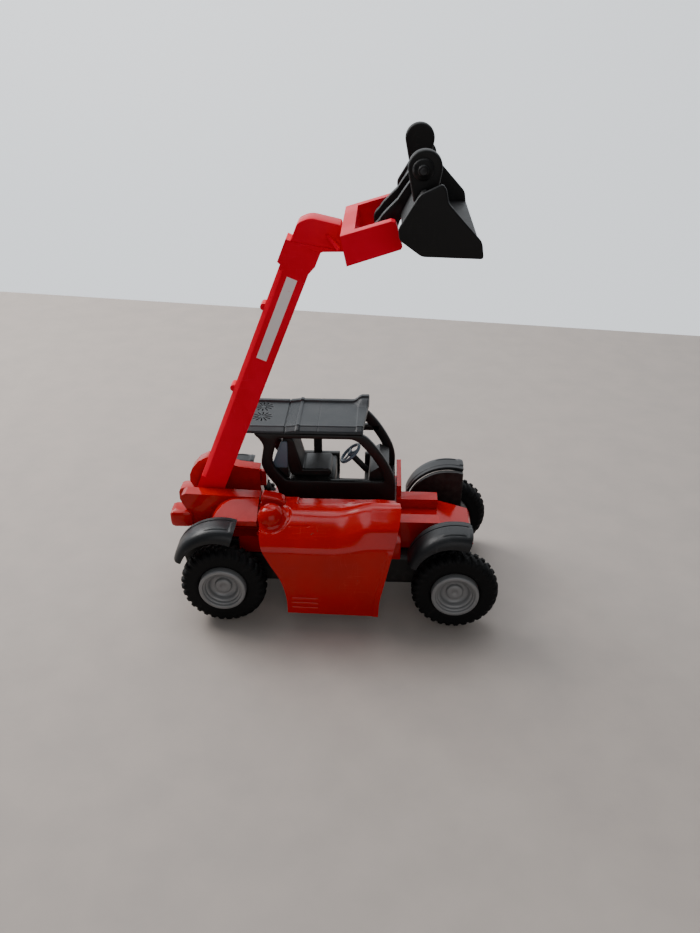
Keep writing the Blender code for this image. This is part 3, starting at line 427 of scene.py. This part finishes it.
def finish(name, colour, other, rough, bump, chips=0.0, scratches=0.3, dust=0.3, edge=0.3,
           chip_colour=(0.10, 0.09, 0.085), edge_colour=None, metallic=0.0, coat=0.0, grain=1500.0,
           specular=0.5, dust_colour=(0.42, 0.40, 0.37), extra=None):
    """Material of two close colours, mottled, with grain, wear, dust and paler rims (rubbed wear and painted
    highlight) laid over it.
    """
    material = bpy.data.materials.new(name)
    material.use_nodes = True
    tree = material.node_tree
    shader = tree.nodes["Principled BSDF"]
    shader.inputs["Coat Weight"].default_value = coat
    shader.inputs["Coat Roughness"].default_value = 0.06
    shader.inputs["Specular IOR Level"].default_value = specular
    texture = use(tree, GRAIN, Scale=grain)
    worn = use(tree, WEAR, Chips=chips, Scratches=scratches)
    rims = use(tree, EDGE, Amount=edge)["Edge"]
    dirt = use(tree, DUST, Amount=dust)["Dust"]
    base = blended(tree, texture["Mottle"], (*colour, 1), (*other, 1))
    if extra is not None:
        base = extra(tree, base)
    # Paler colour on convex rims: rubbed wear together with a painted edge highlight.
    base = blended(tree, rims, base, (*(edge_colour or tuple(min(1, c * 1.6 + 0.02) for c in colour)), 1))
    base = blended(tree, worn["Scratches"], base, (*tuple(min(1, c * 1.5 + 0.06) for c in colour), 1))
    base = blended(tree, dirt, base, (*dust_colour, 1))
    if chips:
        base = blended(tree, worn["Chips"], base, (*chip_colour, 1))
        link(tree, maths(tree, "MULTIPLY", worn["Chips"], 0.6), shader.inputs["Metallic"])
    else:
        shader.inputs["Metallic"].default_value = metallic
    link(tree, base, shader.inputs["Base Color"])
    dull = maths(tree, "ADD", span(tree, texture["Mottle"], 0, 1, rough - 0.03, rough + 0.05),
                 maths(tree, "MULTIPLY", maths(tree, "MAXIMUM", dirt, worn["Scratches"]), 0.25))
    link(tree, dull, shader.inputs["Roughness"])
    height = maths(tree, "SUBTRACT", texture["Height"], maths(tree, "MULTIPLY", worn["Scratches"], 0.8))
    lumps = node(tree, "Bump", {"Height": height, "Strength": bump, "Distance": 0.00005})
    link(tree, lumps.outputs[0], shader.inputs["Normal"])
    return material


def printed_band(start, end, low, high):
    """Colour step for plain pale bars printed on the boom's sides, between two distances along it."""
    def paint(tree, base):
        here = node(tree, "TexCoord").outputs["Object"]
        pivot = ((BOOM_PIVOT[0] + ORIGIN[0]) * MM, 0.0, BOOM_PIVOT[1] * MM)
        offset = node(tree, "VectorMath", {0: here, 1: pivot}, operation="SUBTRACT").outputs[0]
        along = node(tree, "VectorMath", {0: offset, 1: (ALONG[0], 0, ALONG[1])},
                     operation="DOT_PRODUCT").outputs["Value"]
        across = node(tree, "VectorMath", {0: offset, 1: (ACROSS[0], 0, ACROSS[1])},
                      operation="DOT_PRODUCT").outputs["Value"]
        side = node(tree, "SeparateXYZ", {0: here}).outputs[1]
        specks = node(tree, "TexNoise", {"Vector": here, "Scale": 900.0, "Detail": 3.0}).outputs[0]
        mask = span(tree, specks, 0.22, 0.27)
        for value, near, far in ((along, start, end), (across, low, high)):
            mask = maths(tree, "MULTIPLY", mask, maths(tree, "GREATER_THAN", value, near * MM))
            mask = maths(tree, "MULTIPLY", mask, maths(tree, "LESS_THAN", value, far * MM))
        on_side = maths(tree, "GREATER_THAN", maths(tree, "ABSOLUTE", side), (BOOM_HALF_WIDTH - 0.2) * MM)
        mask = maths(tree, "MULTIPLY", mask, on_side)
        return blended(tree, mask, base, (0.86, 0.80, 0.80, 1))
    return paint


# The edge amounts and edge colours below paint paler rims: partly rubbed wear, partly a painted highlight,
# strongest on the bucket.
enamel = finish("red_enamel", (0.50, 0.0015, 0.001), (0.43, 0.001, 0.001), 0.17, 0.04, chips=0.6,
                scratches=0.25, dust=0.03, edge=0.12, coat=0.12, grain=700.0, specular=0.22)
boom_red = finish("boom_red_plastic", (0.86, 0.0, 0.028), (0.76, 0.0, 0.022), 0.34, 0.08,
                  scratches=0.15, dust=0.0, edge=0.15, grain=1200.0, specular=0.1,
                  edge_colour=(0.90, 0.015, 0.05), extra=printed_band(42.0, 62.5, -0.9, 1.5))
black = finish("black_plastic", (0.0075, 0.0068, 0.0068), (0.011, 0.0095, 0.009), 0.42, 0.15, scratches=0.2,
               dust=0.12, edge=0.3, grain=1800.0, edge_colour=(0.05, 0.048, 0.046), specular=0.35)
slate = finish("slate_plastic", (0.0075, 0.0085, 0.0100), (0.0105, 0.0115, 0.013), 0.40, 0.18, scratches=0.3,
               dust=0.05, edge=0.3, grain=1600.0, edge_colour=(0.05, 0.055, 0.06), specular=0.33)
roof_slate = finish("roof_slate", (0.0095, 0.012, 0.0145), (0.013, 0.016, 0.019), 0.40, 0.18,
                    scratches=0.3, dust=0.09, edge=0.35, grain=1600.0, edge_colour=(0.09, 0.11, 0.125),
                    specular=0.35)
bucket_black = finish("bucket_black", (0.0055, 0.0052, 0.0054), (0.0080, 0.0074, 0.0074), 0.50, 0.15,
                      scratches=0.1, dust=0.0, edge=0.5, grain=1800.0, edge_colour=(0.08, 0.08, 0.085),
                      specular=0.2)
seat_grey = finish("seat_grey", (0.11, 0.15, 0.20), (0.14, 0.18, 0.23), 0.40, 0.12, scratches=0.1,
                   dust=0.05, edge=0.2, grain=1700.0)
grey_rim = finish("rim_grey", (0.20, 0.20, 0.203), (0.23, 0.23, 0.233), 0.36, 0.10, scratches=0.3,
                  dust=0.15, edge=0.3, grain=1500.0, metallic=0.25)
rubber = finish("tyre_rubber", (0.0028, 0.0028, 0.0032), (0.0045, 0.0045, 0.0048), 0.60, 0.30, scratches=0.0,
                dust=0.06, edge=0.3, grain=2200.0, edge_colour=(0.022, 0.022, 0.022), specular=0.15)
steel = finish("bright_steel", (0.50, 0.50, 0.51), (0.42, 0.42, 0.43), 0.28, 0.10, scratches=0.4,
               dust=0.1, edge=0.0, grain=900.0, metallic=1.0)

# ------------------------------------------------------------------ wheels
LUGS = 31
TYRE_HALF = 2.75


def tyre(place, side):
    """Tyre: its section carried round the axle, with chevron lugs standing out of the tread and shoulders.

    A lug is where the fraction of (lugs x turn + half a lug on one side + a lean that grows outwards) is low.
    """
    half = [(5.85, 2.1), (6.15, 2.5), (7.3, 2.62), (8.7, 2.6), (9.3, 2.35), (9.75, 1.8), (9.95, 0.9),
            (9.98, 0.3)]
    outline = half + [(r, -y) for r, y in half[::-1]]
    section = rounded(np.array(outline), 0.5, 5, closed=True)
    turn = np.linspace(0, math.tau, LUGS * 12, endpoint=False)
    way = np.roll(section, -1, 0) - np.roll(section, 1, 0)
    normal = np.stack([-way[:, 1], way[:, 0]], 1)
    normal /= np.linalg.norm(normal, axis=1)[:, None]
    normal *= np.sign(np.sum(normal * (section - np.array([7.9, 0.0])), axis=1))[:, None]
    r, y = section[:, 0][:, None], section[:, 1][:, None]
    phase = LUGS * turn[None] / math.tau + 0.5 * (y > 0) + 0.45 * np.abs(y) / TYRE_HALF
    wave = np.abs(phase % 1.0 - 0.5) * 2
    lug = eased(0.34, 0.56, wave) * eased(8.3, 9.0, r) * eased(0.10, 0.4, np.abs(y))
    ring = 0.10 * ridge(r, 6.9, 0.18) * (np.abs(y) > 1.5)
    rise = 0.5 * lug + ring
    r = r + normal[:, :1] * rise
    y = y + normal[:, 1:] * rise * 0.3
    x = HALF_BASE * (1 if place == "front" else -1)
    points = np.stack([x + r * np.cos(turn), side * TYRE_MIDDLE + y + 0 * turn,
                       TYRE_RADIUS + r * np.sin(turn)], -1)
    return points.reshape(-1, 3), skin(len(section), len(turn), wrap_rows=True, wrap_cols=True)


RIM_OUTER = 21.0                       # rim's outer face, out from the vehicle's middle
RIM_SECTION = [(0.0, 1.85), (0.45, 1.85), (0.62, 1.72), (1.72, 1.66), (1.98, 1.84), (2.06, 2.1), (2.12, 2.45),
               (2.5, 2.5), (3.2, 2.3), (3.42, 1.95), (3.55, 1.45), (3.85, 1.2), (4.12, 1.12), (4.2, 0.75),
               (4.42, 0.55), (4.62, 0.5), (4.7, 0.14), (4.86, 0.0), (5.4, 0.0), (5.64, 0.12), (5.72, 0.4),
               (5.72, 5.6), (5.3, 5.9), (2.2, 5.9), (2.0, 5.6), (0.0, 5.6)]


def rim(place, side):
    """Rim: lip, two steps, dish and hub, given as (radius, depth from its outer face)."""
    profile = [(r, RIM_OUTER - d) for r, d in RIM_SECTION]
    x = HALF_BASE * (1 if place == "front" else -1)
    return turned(profile, (x, 0, TYRE_RADIUS), (0, side, 0), 96)


for place in ("front", "rear"):
    for side, label in ((-1, "right"), (1, "left")):
        body = place + "_axle_set"
        piece(f"tyre_{place}_{label}_tread", [tyre(place, side)], body, rubber,
              [f"tyre_{place}_{label}"], crease=45)
        piece(f"rim_{place}_{label}_dish", [rim(place, side)], body, grey_rim,
              [f"rim_{place}_{label}"], crease=50)


# ------------------------------------------------------------------ fenders
FENDER_RADIUS = 11.8
FENDER_LIFT = 4.4                      # arc's middle above the axle
FENDER_STEP = 0.14                     # longest side of the section between two points


def fender(wheel_x, side):
    """Mudguard: a hooked section carried along an arc over the wheel, with a groove, ridge and raised end."""
    top = [(13.2, 0.0), (15.2, 0.0), (17.6, 0.05), (19.0, 0.4), (19.9, 1.2), (20.3, 2.3), (20.3, 3.5),
           (19.3, 3.5), (19.2, 2.4), (18.4, 1.3), (17.4, 1.0), (13.2, 1.0)]
    section = rounded(top, [0.25, 1, 1.2, 1, 1, 1, 0.3, 0.3, 1, 1, 1, 0.25], 6)
    dense = np.concatenate([
        start + (end - start) * np.linspace(0, 1, max(2, int(np.linalg.norm(end - start) / FENDER_STEP)),
                                            endpoint=False)[:, None]
        for start, end in zip(section, np.roll(section, -1, 0))])
    angle = np.radians(np.linspace(71.5, 164, 90))[:, None]
    share = (angle - angle[0]) / (angle[-1] - angle[0])
    y, down = dense[:, 0][None], dense[:, 1][None]
    outer = down < 0.5 + 0 * y
    mark = -0.16 * ridge(y, 14.5, 0.10, 0.1) * (share < 0.93) * (share > 0.04)
    mark = mark + 0.22 * (1 - eased(0.05, 0.07, share)) * eased(14.9, 15.1, y)
    rib = (1 - eased(0.35, 0.42, share)) * eased(0.09, 0.11, share)
    mark = mark + 0.14 * ridge(y, 18.0, 0.25, 0.15) * rib
    fall = down * (1 - 0.4 * share)
    radius = FENDER_RADIUS - fall + mark * outer
    x = wheel_x - 0.25 + radius * np.cos(angle)
    z = TYRE_RADIUS + FENDER_LIFT + radius * np.sin(angle)
    return capped(np.stack([x, side * y + 0 * x, z], -1))


for place, wheel_x in (("front", HALF_BASE), ("rear", -HALF_BASE)):
    for side, label in ((-1, "right"), (1, "left")):
        piece(f"fender_{place}_{label}_guard", [fender(wheel_x, side)], "chassis", slate,
              [f"fender_{place}_{label}"], crease=40)

# ------------------------------------------------------------------ engine cover
STATIONS = np.array([(4.2, 27.2, -19.5, 13.3), (8.0, 27.7, -19.5, 13.9), (12.0, 28.0, -19.3, 14.7),
                     (15.4, 26.4, -19.0, 14.5), (18.4, 24.2, -18.8, 14.0), (20.3, 22.2, -18.2, 13.1),
                     (20.9, 18.5, -16.2, 12.1), (21.0, 14.0, -13.6, 11.0), (21.0, 9.0, -12.4, 9.9),
                     (20.7, 4.2, -12.3, 9.7)])


def cover_surface():
    """Engine cover's outer face through the stations (y, z, rear x, front x), raised by its features' sum.

    The lobe is a smooth step along x times a plateau about y = 14, and the shoulder rises forwards with it.
    """
    line = rounded(STATIONS, 2.4, 7, closed=False)
    reach = np.concatenate([[0], np.cumsum(np.linalg.norm(np.diff(line[:, :2], axis=0), axis=1))])
    at = np.linspace(0, reach[-1], 150)
    y, z, rear, front = (np.interp(at, reach, line[:, k])[None, :] for k in range(4))
    share = np.linspace(0, 1, 150)[:, None]
    x = rear + (front - rear) * share
    lobe = eased(-1.0, 8.0, x)
    hump = 1 - eased(3.6, 8.5, np.abs(y - 14.0))
    rise = 2.0 * lobe * hump * eased(12.0, 21.0, z)
    rise = rise - 0.5 * eased(7.0, 14.0, x) * (1 - eased(7.0, 12.0, y))
    rise = rise - 0.5 * eased(-16.0, 12.0, x) * ridge(y, 20.0, 0.3, 2.2)
    rise = rise + 0.8 * eased(-7.0, 12.0, x) * eased(14.0, 20.0, y) * eased(12.0, 21.0, z)
    flat = 1 - eased(6.0, 10.5, x)
    rise = rise - 0.35 * flat * (1 - eased(7.2, 7.9, y)) * eased(-10.6, -10.2, x)
    rise = rise - 0.16 * ridge(y, 15.6, 0.08, 0.12) * eased(-12.0, -11.5, x) * (1 - eased(-7.2, -6.8, x))
    ring = np.sqrt((x + 16.4) ** 2 + (y - 12.6) ** 2)
    rise = rise - 0.55 * ridge(ring, 4.0, 0.35, 0.5)
    skirt = (z < 12.5) * (x > -11.5) * (x < -4.5)
    grooves = sum(ridge(z, level, 0.12, 0.12) for level in (6.2, 7.6, 9.0))
    push = -0.18 * skirt * grooves * eased(-11.4, -11.0, x) * (1 - eased(-5.0, -4.6, x))
    push = push + 0.25 * eased(-1.6, -1.1, x - front) * (z < 21.5)
    points = np.stack([x, -(y + push + 0 * x), z + rise], -1)
    return points[::-1]


cover_parts = [shell(cover_surface(), 1.1)]
dome = [(0.0, 0.0), (0.9, -0.02), (1.7, -0.3), (2.5, -0.95), (3.05, -1.9), (3.3, -2.9), (3.35, -4.4),
        (0.0, -4.4)]
dome = [(r, 3.4 + h) for r, h in dome]
cover_parts.append(turned(rounded(dome, 0.4, 4, closed=False), (-16.4, -12.6, 26.4), (0, -0.12, 1), 64))
fin = [(-19.3, 26.4), (-13.2, 26.4), (-13.4, 28.0), (-14.6, 28.9), (-19.3, 29.9)]
cover_parts.append(plate(fin, -8.6, -5.2, edge=0.35, corner=0.6))
piece("engine_cover_shell", cover_parts, "chassis", enamel, ["engine_cover"], crease=40)

# ------------------------------------------------------------------ body and chassis
softened("body_casting", "chassis", 0.5, enamel, segments=3)
softened("chassis_base", "chassis", 0.25, black)
softened("cab_floor", "chassis", 0.22, black)
softened("boom_outer", "outer_boom", 0.25, boom_red,
         square=lambda p: (p[[0, 2]] - BOOM_PIVOT) @ ALONG > COLLAR_END - 0.2)
softened("tool_carrier", "inner_boom", 0.5, boom_red, segments=3)
softened("driver_seat", "chassis", 0.6, black, segments=3)
for name in ("front_axle", "rear_axle", "boom_pivot_pin", "bucket_pivot_pin", "chassis_rivet_front",
             "chassis_rivet_rear", "steering_column"):
    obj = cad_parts[name]
    obj.data.materials.clear()
    obj.data.materials.append(black if name == "steering_column" else steel)

# ------------------------------------------------------------------ boom head
def on_boom(along, across):
    """(x, z) of a point along the boom from its pivot and across it, underside positive."""
    return BOOM_PIVOT + ALONG * along + ACROSS * across


def web(side):
    """Three-cornered web between the head's side and the tool carrier's back."""
    start, end = np.array([-3.5, 92.1]), np.array([-0.3, 89.3])
    off = np.array([start[1] - end[1], end[0] - start[0]])
    off = off / np.linalg.norm(off) * 0.35
    corners = [(start, BOOM_HALF_WIDTH - 0.4), (end, BOOM_HALF_WIDTH - 0.4), (end, BOOM_HALF_WIDTH + 3.0)]
    return capped(np.array([[(*(p + off * way)[:1], side * y, (p + off * way)[1]) for p, y in corners]
                            for way in (-1, 1)]))


head = [on_boom(HEAD_START, -2.9), on_boom(74.2, -2.9), on_boom(76.2, -0.8),
        on_boom(COLLAR_END, 0) + (8.08, 4.6), on_boom(COLLAR_END, 0) + (9.3, -1.1),
        on_boom(HEAD_START + 0.4, 4.3), on_boom(HEAD_START, 3.95)]
slide = np.linspace(22.0, COLLAR_END + 1.0, 8)
piece("boom_inner_head", [
    plate(head, -BOOM_HALF_WIDTH, BOOM_HALF_WIDTH, edge=0.25, corner=[0.02, 0.9, 1.2, 0.3, 0.3, 0.3, 0.02],
          butt=(ALONG, BOOM_PIVOT @ ALONG + HEAD_START)),
    bar([(on_boom(a, 0)[0], 0, on_boom(a, 0)[1]) for a in slide], 3.2, 4.1, 0.3), web(-1), web(1)],
    "inner_boom", boom_red, ["boom_inner"], crease=40)

# ------------------------------------------------------------------ bucket
TILT_PIVOT = on_boom(COLLAR_END, 0) + (17.38, 4.4)
PIN_HOLE = 1.1
BUCKET_HALF = 22.8
BUCKET_SIDE = [(2.5, 4.5), (6.3, 10.8), (10.4, 12.8), (11.2, 11.8), (11.7, 9.3), (18.4, 2.2), (18.9, -1.0),
               (7.1, -0.7), (2.75, 2.4)]
BUCKET_SHEET = [(3.1, 3.6), (6.7, 10.9), (7.6, 11.3), (7.53, 10.1), (4.58, 3.7), (7.55, 0.5), (18.75, 0.1),
                (18.85, -0.9), (7.0, -0.6)]
LUG = [(3.5, 3.7), (7.0, 10.5), (5.3, 11.4), (3.0, 7.0), (1.2, 5.2), (-0.5, 3.4)]
EAR_CENTRE = np.array([7.3, 14.7])


def round_end(centre, radius, start, end, steps):
    """Points on a circle from one angle to another, in degrees."""
    turn = np.radians(np.linspace(start, end, steps))
    return np.asarray(centre) + radius * np.stack([np.cos(turn), np.sin(turn)], 1)


def bucket_side(side):
    """Side plate, ear with its round boss, and hinge lug with its pin hole, on one side."""
    def across(low, high):
        return sorted((side * low, side * high))
    shells = [plate(TILT_PIVOT + np.array(BUCKET_SIDE), *across(BUCKET_HALF - 1.2, BUCKET_HALF), edge=0.4,
                    corner=0.7, steps=5)]
    ear = np.concatenate([EAR_CENTRE + [(-2.0, -6.2), (2.4, -5.2)],
                          round_end(EAR_CENTRE, 3.25, -10, 190, 22)])
    shells.append(plate(TILT_PIVOT + ear, *across(15.6, 18.4), edge=0.6, corner=0.1, steps=5, corner_steps=2))
    boss = [(0.0, 20.1), (0.7, 20.1), (0.95, 19.9), (1.05, 19.5), (1.7, 19.3), (2.0, 19.0), (2.1, 18.0),
            (0.0, 18.0)]
    at = TILT_PIVOT + EAR_CENTRE + (-0.4, -0.2)
    shells.append(turned(rounded(boss, 0.12, 3, closed=False), (at[0], 0, at[1]), (0, side, 0), 40))
    outer = TILT_PIVOT + np.concatenate([LUG, round_end((0, 0), 2.5, 125, 325, 24)])
    turn = np.linspace(0, math.tau, 120, endpoint=False)
    hole = TILT_PIVOT + PIN_HOLE * np.stack([np.cos(turn), np.sin(turn)], 1)
    shells.append(framed(crossings(outer, TILT_PIVOT, turn), hole, *across(4.4, 6.5), edge=0.35))
    return shells


bucket_sheet = plate(TILT_PIVOT + np.array(BUCKET_SHEET), -BUCKET_HALF + 0.9, BUCKET_HALF - 0.9, edge=0.05,
                     corner=0.35)
piece("bucket_shell", [bucket_sheet] + bucket_side(-1) + bucket_side(1), "bucket", bucket_black,
      ["bucket"], crease=40)

# ------------------------------------------------------------------ cab
CAB_NEAR, CAB_FAR, CAB_POST = 3.7, 20.3, 1.5
SILL_LOW, SILL_TOP, CAB_TOP = 20.3, 27.2, 40.5
DOORWAY = (-1.6, 5.2)
CAB_EYE = np.array([-0.5, 33.0])       # inside both outlines of a side frame
FRAME_OUTER = [(-16.6, SILL_LOW), (13.4, SILL_LOW), (13.4, 27.0), (12.6, 30.0), (10.8, 33.6), (8.4, 37.2),
               (5.4, CAB_TOP), (-22.6, CAB_TOP), (-21.0, 39.0), (-19.9, 37.0), (-20.9, 31.4), (-19.4, 28.4),
               (-16.6, 24.4)]
FRAME_INNER = [(-14.6, SILL_TOP), (10.7, SILL_TOP), (10.0, 29.8), (8.1, 33.2), (5.7, 36.4), (3.1, 39.2),
               (-16.4, 39.2), (-18.3, 31.8)]


def side_frames():
    """Near frame, closed, and far frame, which stops on each side of the doorway."""
    outer = rounded(FRAME_OUTER, [0.8, 0.8, 2.5, 2.5, 2.5, 2.5, 1.6, 1.0, 1.5, 2.5, 2.5, 2.5, 2.5], 5)
    inner = rounded(FRAME_INNER, [1.0, 1.2, 2.0, 2.5, 2.5, 3.0, 1.4, 2.5], 6)
    corners = np.concatenate([outer, inner]) - CAB_EYE
    turn = np.sort(np.concatenate([np.arctan2(corners[:, 1], corners[:, 0]) % math.tau,
                                   np.linspace(0, math.tau, 96, endpoint=False)]))
    turn = turn[np.concatenate([[True], np.diff(turn) > 0.004])]
    near = framed(crossings(outer, CAB_EYE, turn), crossings(inner, CAB_EYE, turn),
                  CAB_NEAR, CAB_NEAR + CAB_POST)
    start, end = (math.atan2(SILL_LOW - CAB_EYE[1], FRAME_OUTER[i][0] - CAB_EYE[0]) for i in (1, 0))
    end += math.tau
    swing = np.sort((turn - start) % math.tau) + start
    swing = swing[swing <= end]
    ends = [np.array([[x, z]]) for x in DOORWAY[::-1] for z in (SILL_LOW, SILL_TOP)]
    far_outer = np.concatenate([ends[0], crossings(outer, CAB_EYE, swing), ends[2]])
    far_inner = np.concatenate([ends[1], crossings(inner, CAB_EYE, swing), ends[3]])
    far = framed(far_outer, far_inner, CAB_FAR - CAB_POST, CAB_FAR, closed=False)
    return [near, far]


def box(x_ends, z_ends, y_ends, edge=0.25):
    """Small bar across the vehicle or along it, its rims rounded."""
    (a, b), (c, d) = x_ends, z_ends
    return plate([(a, c), (b, c), (b, d), (a, d)], *y_ends, edge=edge, corner=edge)


across_cab = (CAB_NEAR + 0.5, CAB_FAR - 0.5)
in_far_side = (CAB_FAR - CAB_POST, CAB_FAR)
piece("cab_frame_bars", side_frames() + [
    box((-16.0, -14.6), (SILL_LOW, 23.8), across_cab), box((12.0, 13.4), (SILL_LOW, 23.8), across_cab),
    box((-21.6, -20.0), (39.4, CAB_TOP), across_cab), box((3.4, 5.0), (39.4, CAB_TOP), across_cab),
    box((-8.6, -6.4), (26.2, 40.0), in_far_side), box((-8.0, 9.0), (34.2, 35.8), in_far_side)],
    "chassis", black, ["cab_frame"], crease=50)

ROOF_TOP = 42.2
FANS = ((-21.2, 16.2), (-20.8, 10.4))


def roof_height(x, y):
    """Roof's upper face: near side turned down, far rail, a step and grooves across, two slotted grilles."""
    panel = ROOF_TOP - 0.55 * np.clip(5.2 - y, 0, 1.8) + 0.1 * ridge(y, 5.3, 0.12, 0.2)
    panel = panel + 0.5 * ridge(y, 19.7, 0.55, 0.2) - 0.25 * (1 - eased(-14.4, -11.6, x))
    panel = panel + 0.30 * ridge(x, -11.3, 0.25, 0.35) - 0.25 * ridge(x, -14.5, 0.10, 0.15)
    band = eased(-14.3, -14.0, x) * (1 - eased(-12.0, -11.7, x))
    band = band * eased(5.4, 5.7, y) * (1 - eased(18.5, 18.8, y))
    panel = panel + 0.06 * band * np.sin(9.0 * x) * np.sin(7.0 * y)
    panel = panel - 0.07 * ridge(x, -6.3, 0.04, 0.08) + 0.18 * eased(3.1, 3.5, x)
    for a, b in FANS:
        r, turn = np.hypot(x - a, y - b), np.arctan2(y - b, x - a)
        slots = 1 - eased(0.22, 0.42, np.abs(np.sin(6 * turn)))
        panel = panel - 0.4 * slots * eased(0.5, 0.8, r) * (1 - eased(2.3, 2.7, r))
    return panel + 1.3 * eased(1.8, 4.6, x) * eased(15.5, 19.0, y)


def roof_front(y):
    """Roof's front edge, which runs forward towards the far side."""
    return 4.9 + 1.3 * (y - 3.5) / 17.0


piece("cab_roof_panel", [slab(-24.4, roof_front, (3.5, 20.5), 40.8, roof_height, 260, 150)], "chassis",
      roof_slate, ["cab_roof"], crease=40)

WHEEL_CENTRE = np.array([1.6, 10.8, 31.6])
WHEEL_RADIUS = 3.0
WHEEL_AXIS = np.array([-0.669, 0.0, 0.743])


def steering_wheel():
    """Round rim with three spokes and a hub, lying across its leaning axis."""
    around = np.linspace(0, math.tau, 12, endpoint=False)
    rim_section = np.stack([WHEEL_RADIUS + 0.42 * np.cos(around), 0.42 * np.sin(around)], 1)
    shells = [turned(rim_section, WHEEL_CENTRE, WHEEL_AXIS, 56, closed=True)]
    hub = rounded([(0.0, 0.4), (0.75, 0.4), (0.8, -0.5), (0.0, -0.5)], 0.15, 3, closed=False)
    shells.append(turned(hub, WHEEL_CENTRE, WHEEL_AXIS, 32))
    level = np.cross(WHEEL_AXIS, (0, 1, 0))
    for i in range(3):
        angle = math.tau * (i / 3 + 0.25)
        ray = math.cos(angle) * level + math.sin(angle) * np.array([0.0, 1.0, 0.0])
        reach = np.linspace(0.3, WHEEL_RADIUS, 6)[:, None]
        shells.append(bar(WHEEL_CENTRE + reach * ray, 0.45, 0.62, 0.18, up=WHEEL_AXIS))
    return shells


SEAT_BACK = [(-18.1, 31.0), (-15.7, 37.4), (-14.1, 37.4), (-14.2, 29.8), (-17.7, 29.8)]
piece("seat_shell", [plate(SEAT_BACK, 5.5, 6.1, edge=0.25, corner=0.6)], "chassis", seat_grey)
piece("seat_stand", [plate([(-17.5, 30.0), (-14.2, 30.0), (-13.9, 26.9), (-16.2, 26.9)], 5.5, 6.1, edge=0.2)],
      "chassis", black)
piece("steering_wheel_rim", steering_wheel(), "chassis", seat_grey, ["steering_wheel"],
      crease=45)

# ------------------------------------------------------------------ stage, light and camera
FLOOR_EDGE = [(-900, -700), (900, -700), (900, 80), (-900, 330)]


def floor_material():
    """Plain pale matt floor."""
    material = bpy.data.materials.new("pale_floor")
    material.use_nodes = True
    tree = material.node_tree
    shader = tree.nodes["Principled BSDF"]
    texture = use(tree, GRAIN, Scale=400.0)
    link(tree, blended(tree, texture["Mottle"], (0.42, 0.365, 0.33, 1), (0.45, 0.39, 0.35, 1)),
         shader.inputs["Base Color"])
    shader.inputs["Roughness"].default_value = 0.75
    return material


floor_mesh = bpy.data.meshes.new("floor")
floor_mesh.from_pydata([(x * MM, y * MM, 0.0) for x, y in FLOOR_EDGE], [], [(0, 1, 2, 3)])
floor = bpy.data.objects.new("floor", floor_mesh)
bpy.context.scene.collection.objects.link(floor)
floor_mesh.materials.append(floor_material())

wall_mesh = bpy.data.meshes.new("backdrop")
WALL_EDGE = [(-900, -500), (900, -500), (900, 700), (-900, 700)]
wall_mesh.from_pydata([(x * MM, 420 * MM, z * MM) for x, z in WALL_EDGE], [], [(0, 1, 2, 3)])
backdrop = bpy.data.objects.new("backdrop", wall_mesh)
bpy.context.scene.collection.objects.link(backdrop)
wall_paint = bpy.data.materials.new("pale_backdrop")
wall_paint.use_nodes = True
wall_shader = wall_paint.node_tree.nodes["Principled BSDF"]
wall_shader.inputs["Base Color"].default_value = (0.5, 0.52, 0.54, 1)
wall_shader.inputs["Emission Color"].default_value = (0.86, 0.90, 0.94, 1)
wall_shader.inputs["Emission Strength"].default_value = 1.15
wall_mesh.materials.append(wall_paint)

world = bpy.data.worlds.new("studio")
bpy.context.scene.world = world
world.use_nodes = True
world.node_tree.nodes["Background"].inputs[0].default_value = (0.70, 0.76, 0.82, 1)
world.node_tree.nodes["Background"].inputs[1].default_value = 0.22


def lamp(name, place, target, size, power, colour):
    """Soft rectangular light that looks at a point."""
    data = bpy.data.lights.new(name, "AREA")
    data.shape = "RECTANGLE"
    data.size, data.size_y = size[0] * MM, size[1] * MM
    data.energy = power
    data.color = colour
    obj = bpy.data.objects.new(name, data)
    bpy.context.scene.collection.objects.link(obj)
    obj.location = Vector(place) * MM
    obj.rotation_euler = (Vector(target) - Vector(place)).to_track_quat("-Z", "Y").to_euler()
    return obj


lamp("window", (-330, 190, 330), (0, 0, 20), (260, 220), 1.9, (1.0, 0.98, 0.96))
lamp("ceiling", (-40, 130, 420), (0, 0, 0), (360, 260), 0.9, (0.92, 0.96, 1.0))
lamp("room", (60, -420, 200), (0, 0, 40), (400, 300), 0.37, (1.0, 0.98, 0.96))

YAW, PITCH, ROLL = -0.041, 0.519, 0.002
ahead = Vector((math.sin(YAW) * math.cos(PITCH), math.cos(YAW) * math.cos(PITCH), -math.sin(PITCH)))
right = Vector((math.cos(YAW), -math.sin(YAW), 0))
over = right.cross(ahead)
across_view = right * math.cos(ROLL) + over * math.sin(ROLL)
up_view = over * math.cos(ROLL) - right * math.sin(ROLL)
lens = bpy.data.cameras.new("camera")
lens.lens = 33.0
lens.sensor_width = 36.0
lens.clip_start = 0.01
camera = bpy.data.objects.new("camera", lens)
bpy.context.scene.collection.objects.link(camera)
turn = Matrix((across_view, up_view, -ahead)).transposed().to_4x4()
camera.matrix_world = Matrix.Translation((0.011486, -0.183655, 0.138795)) @ turn
bpy.context.scene.camera = camera
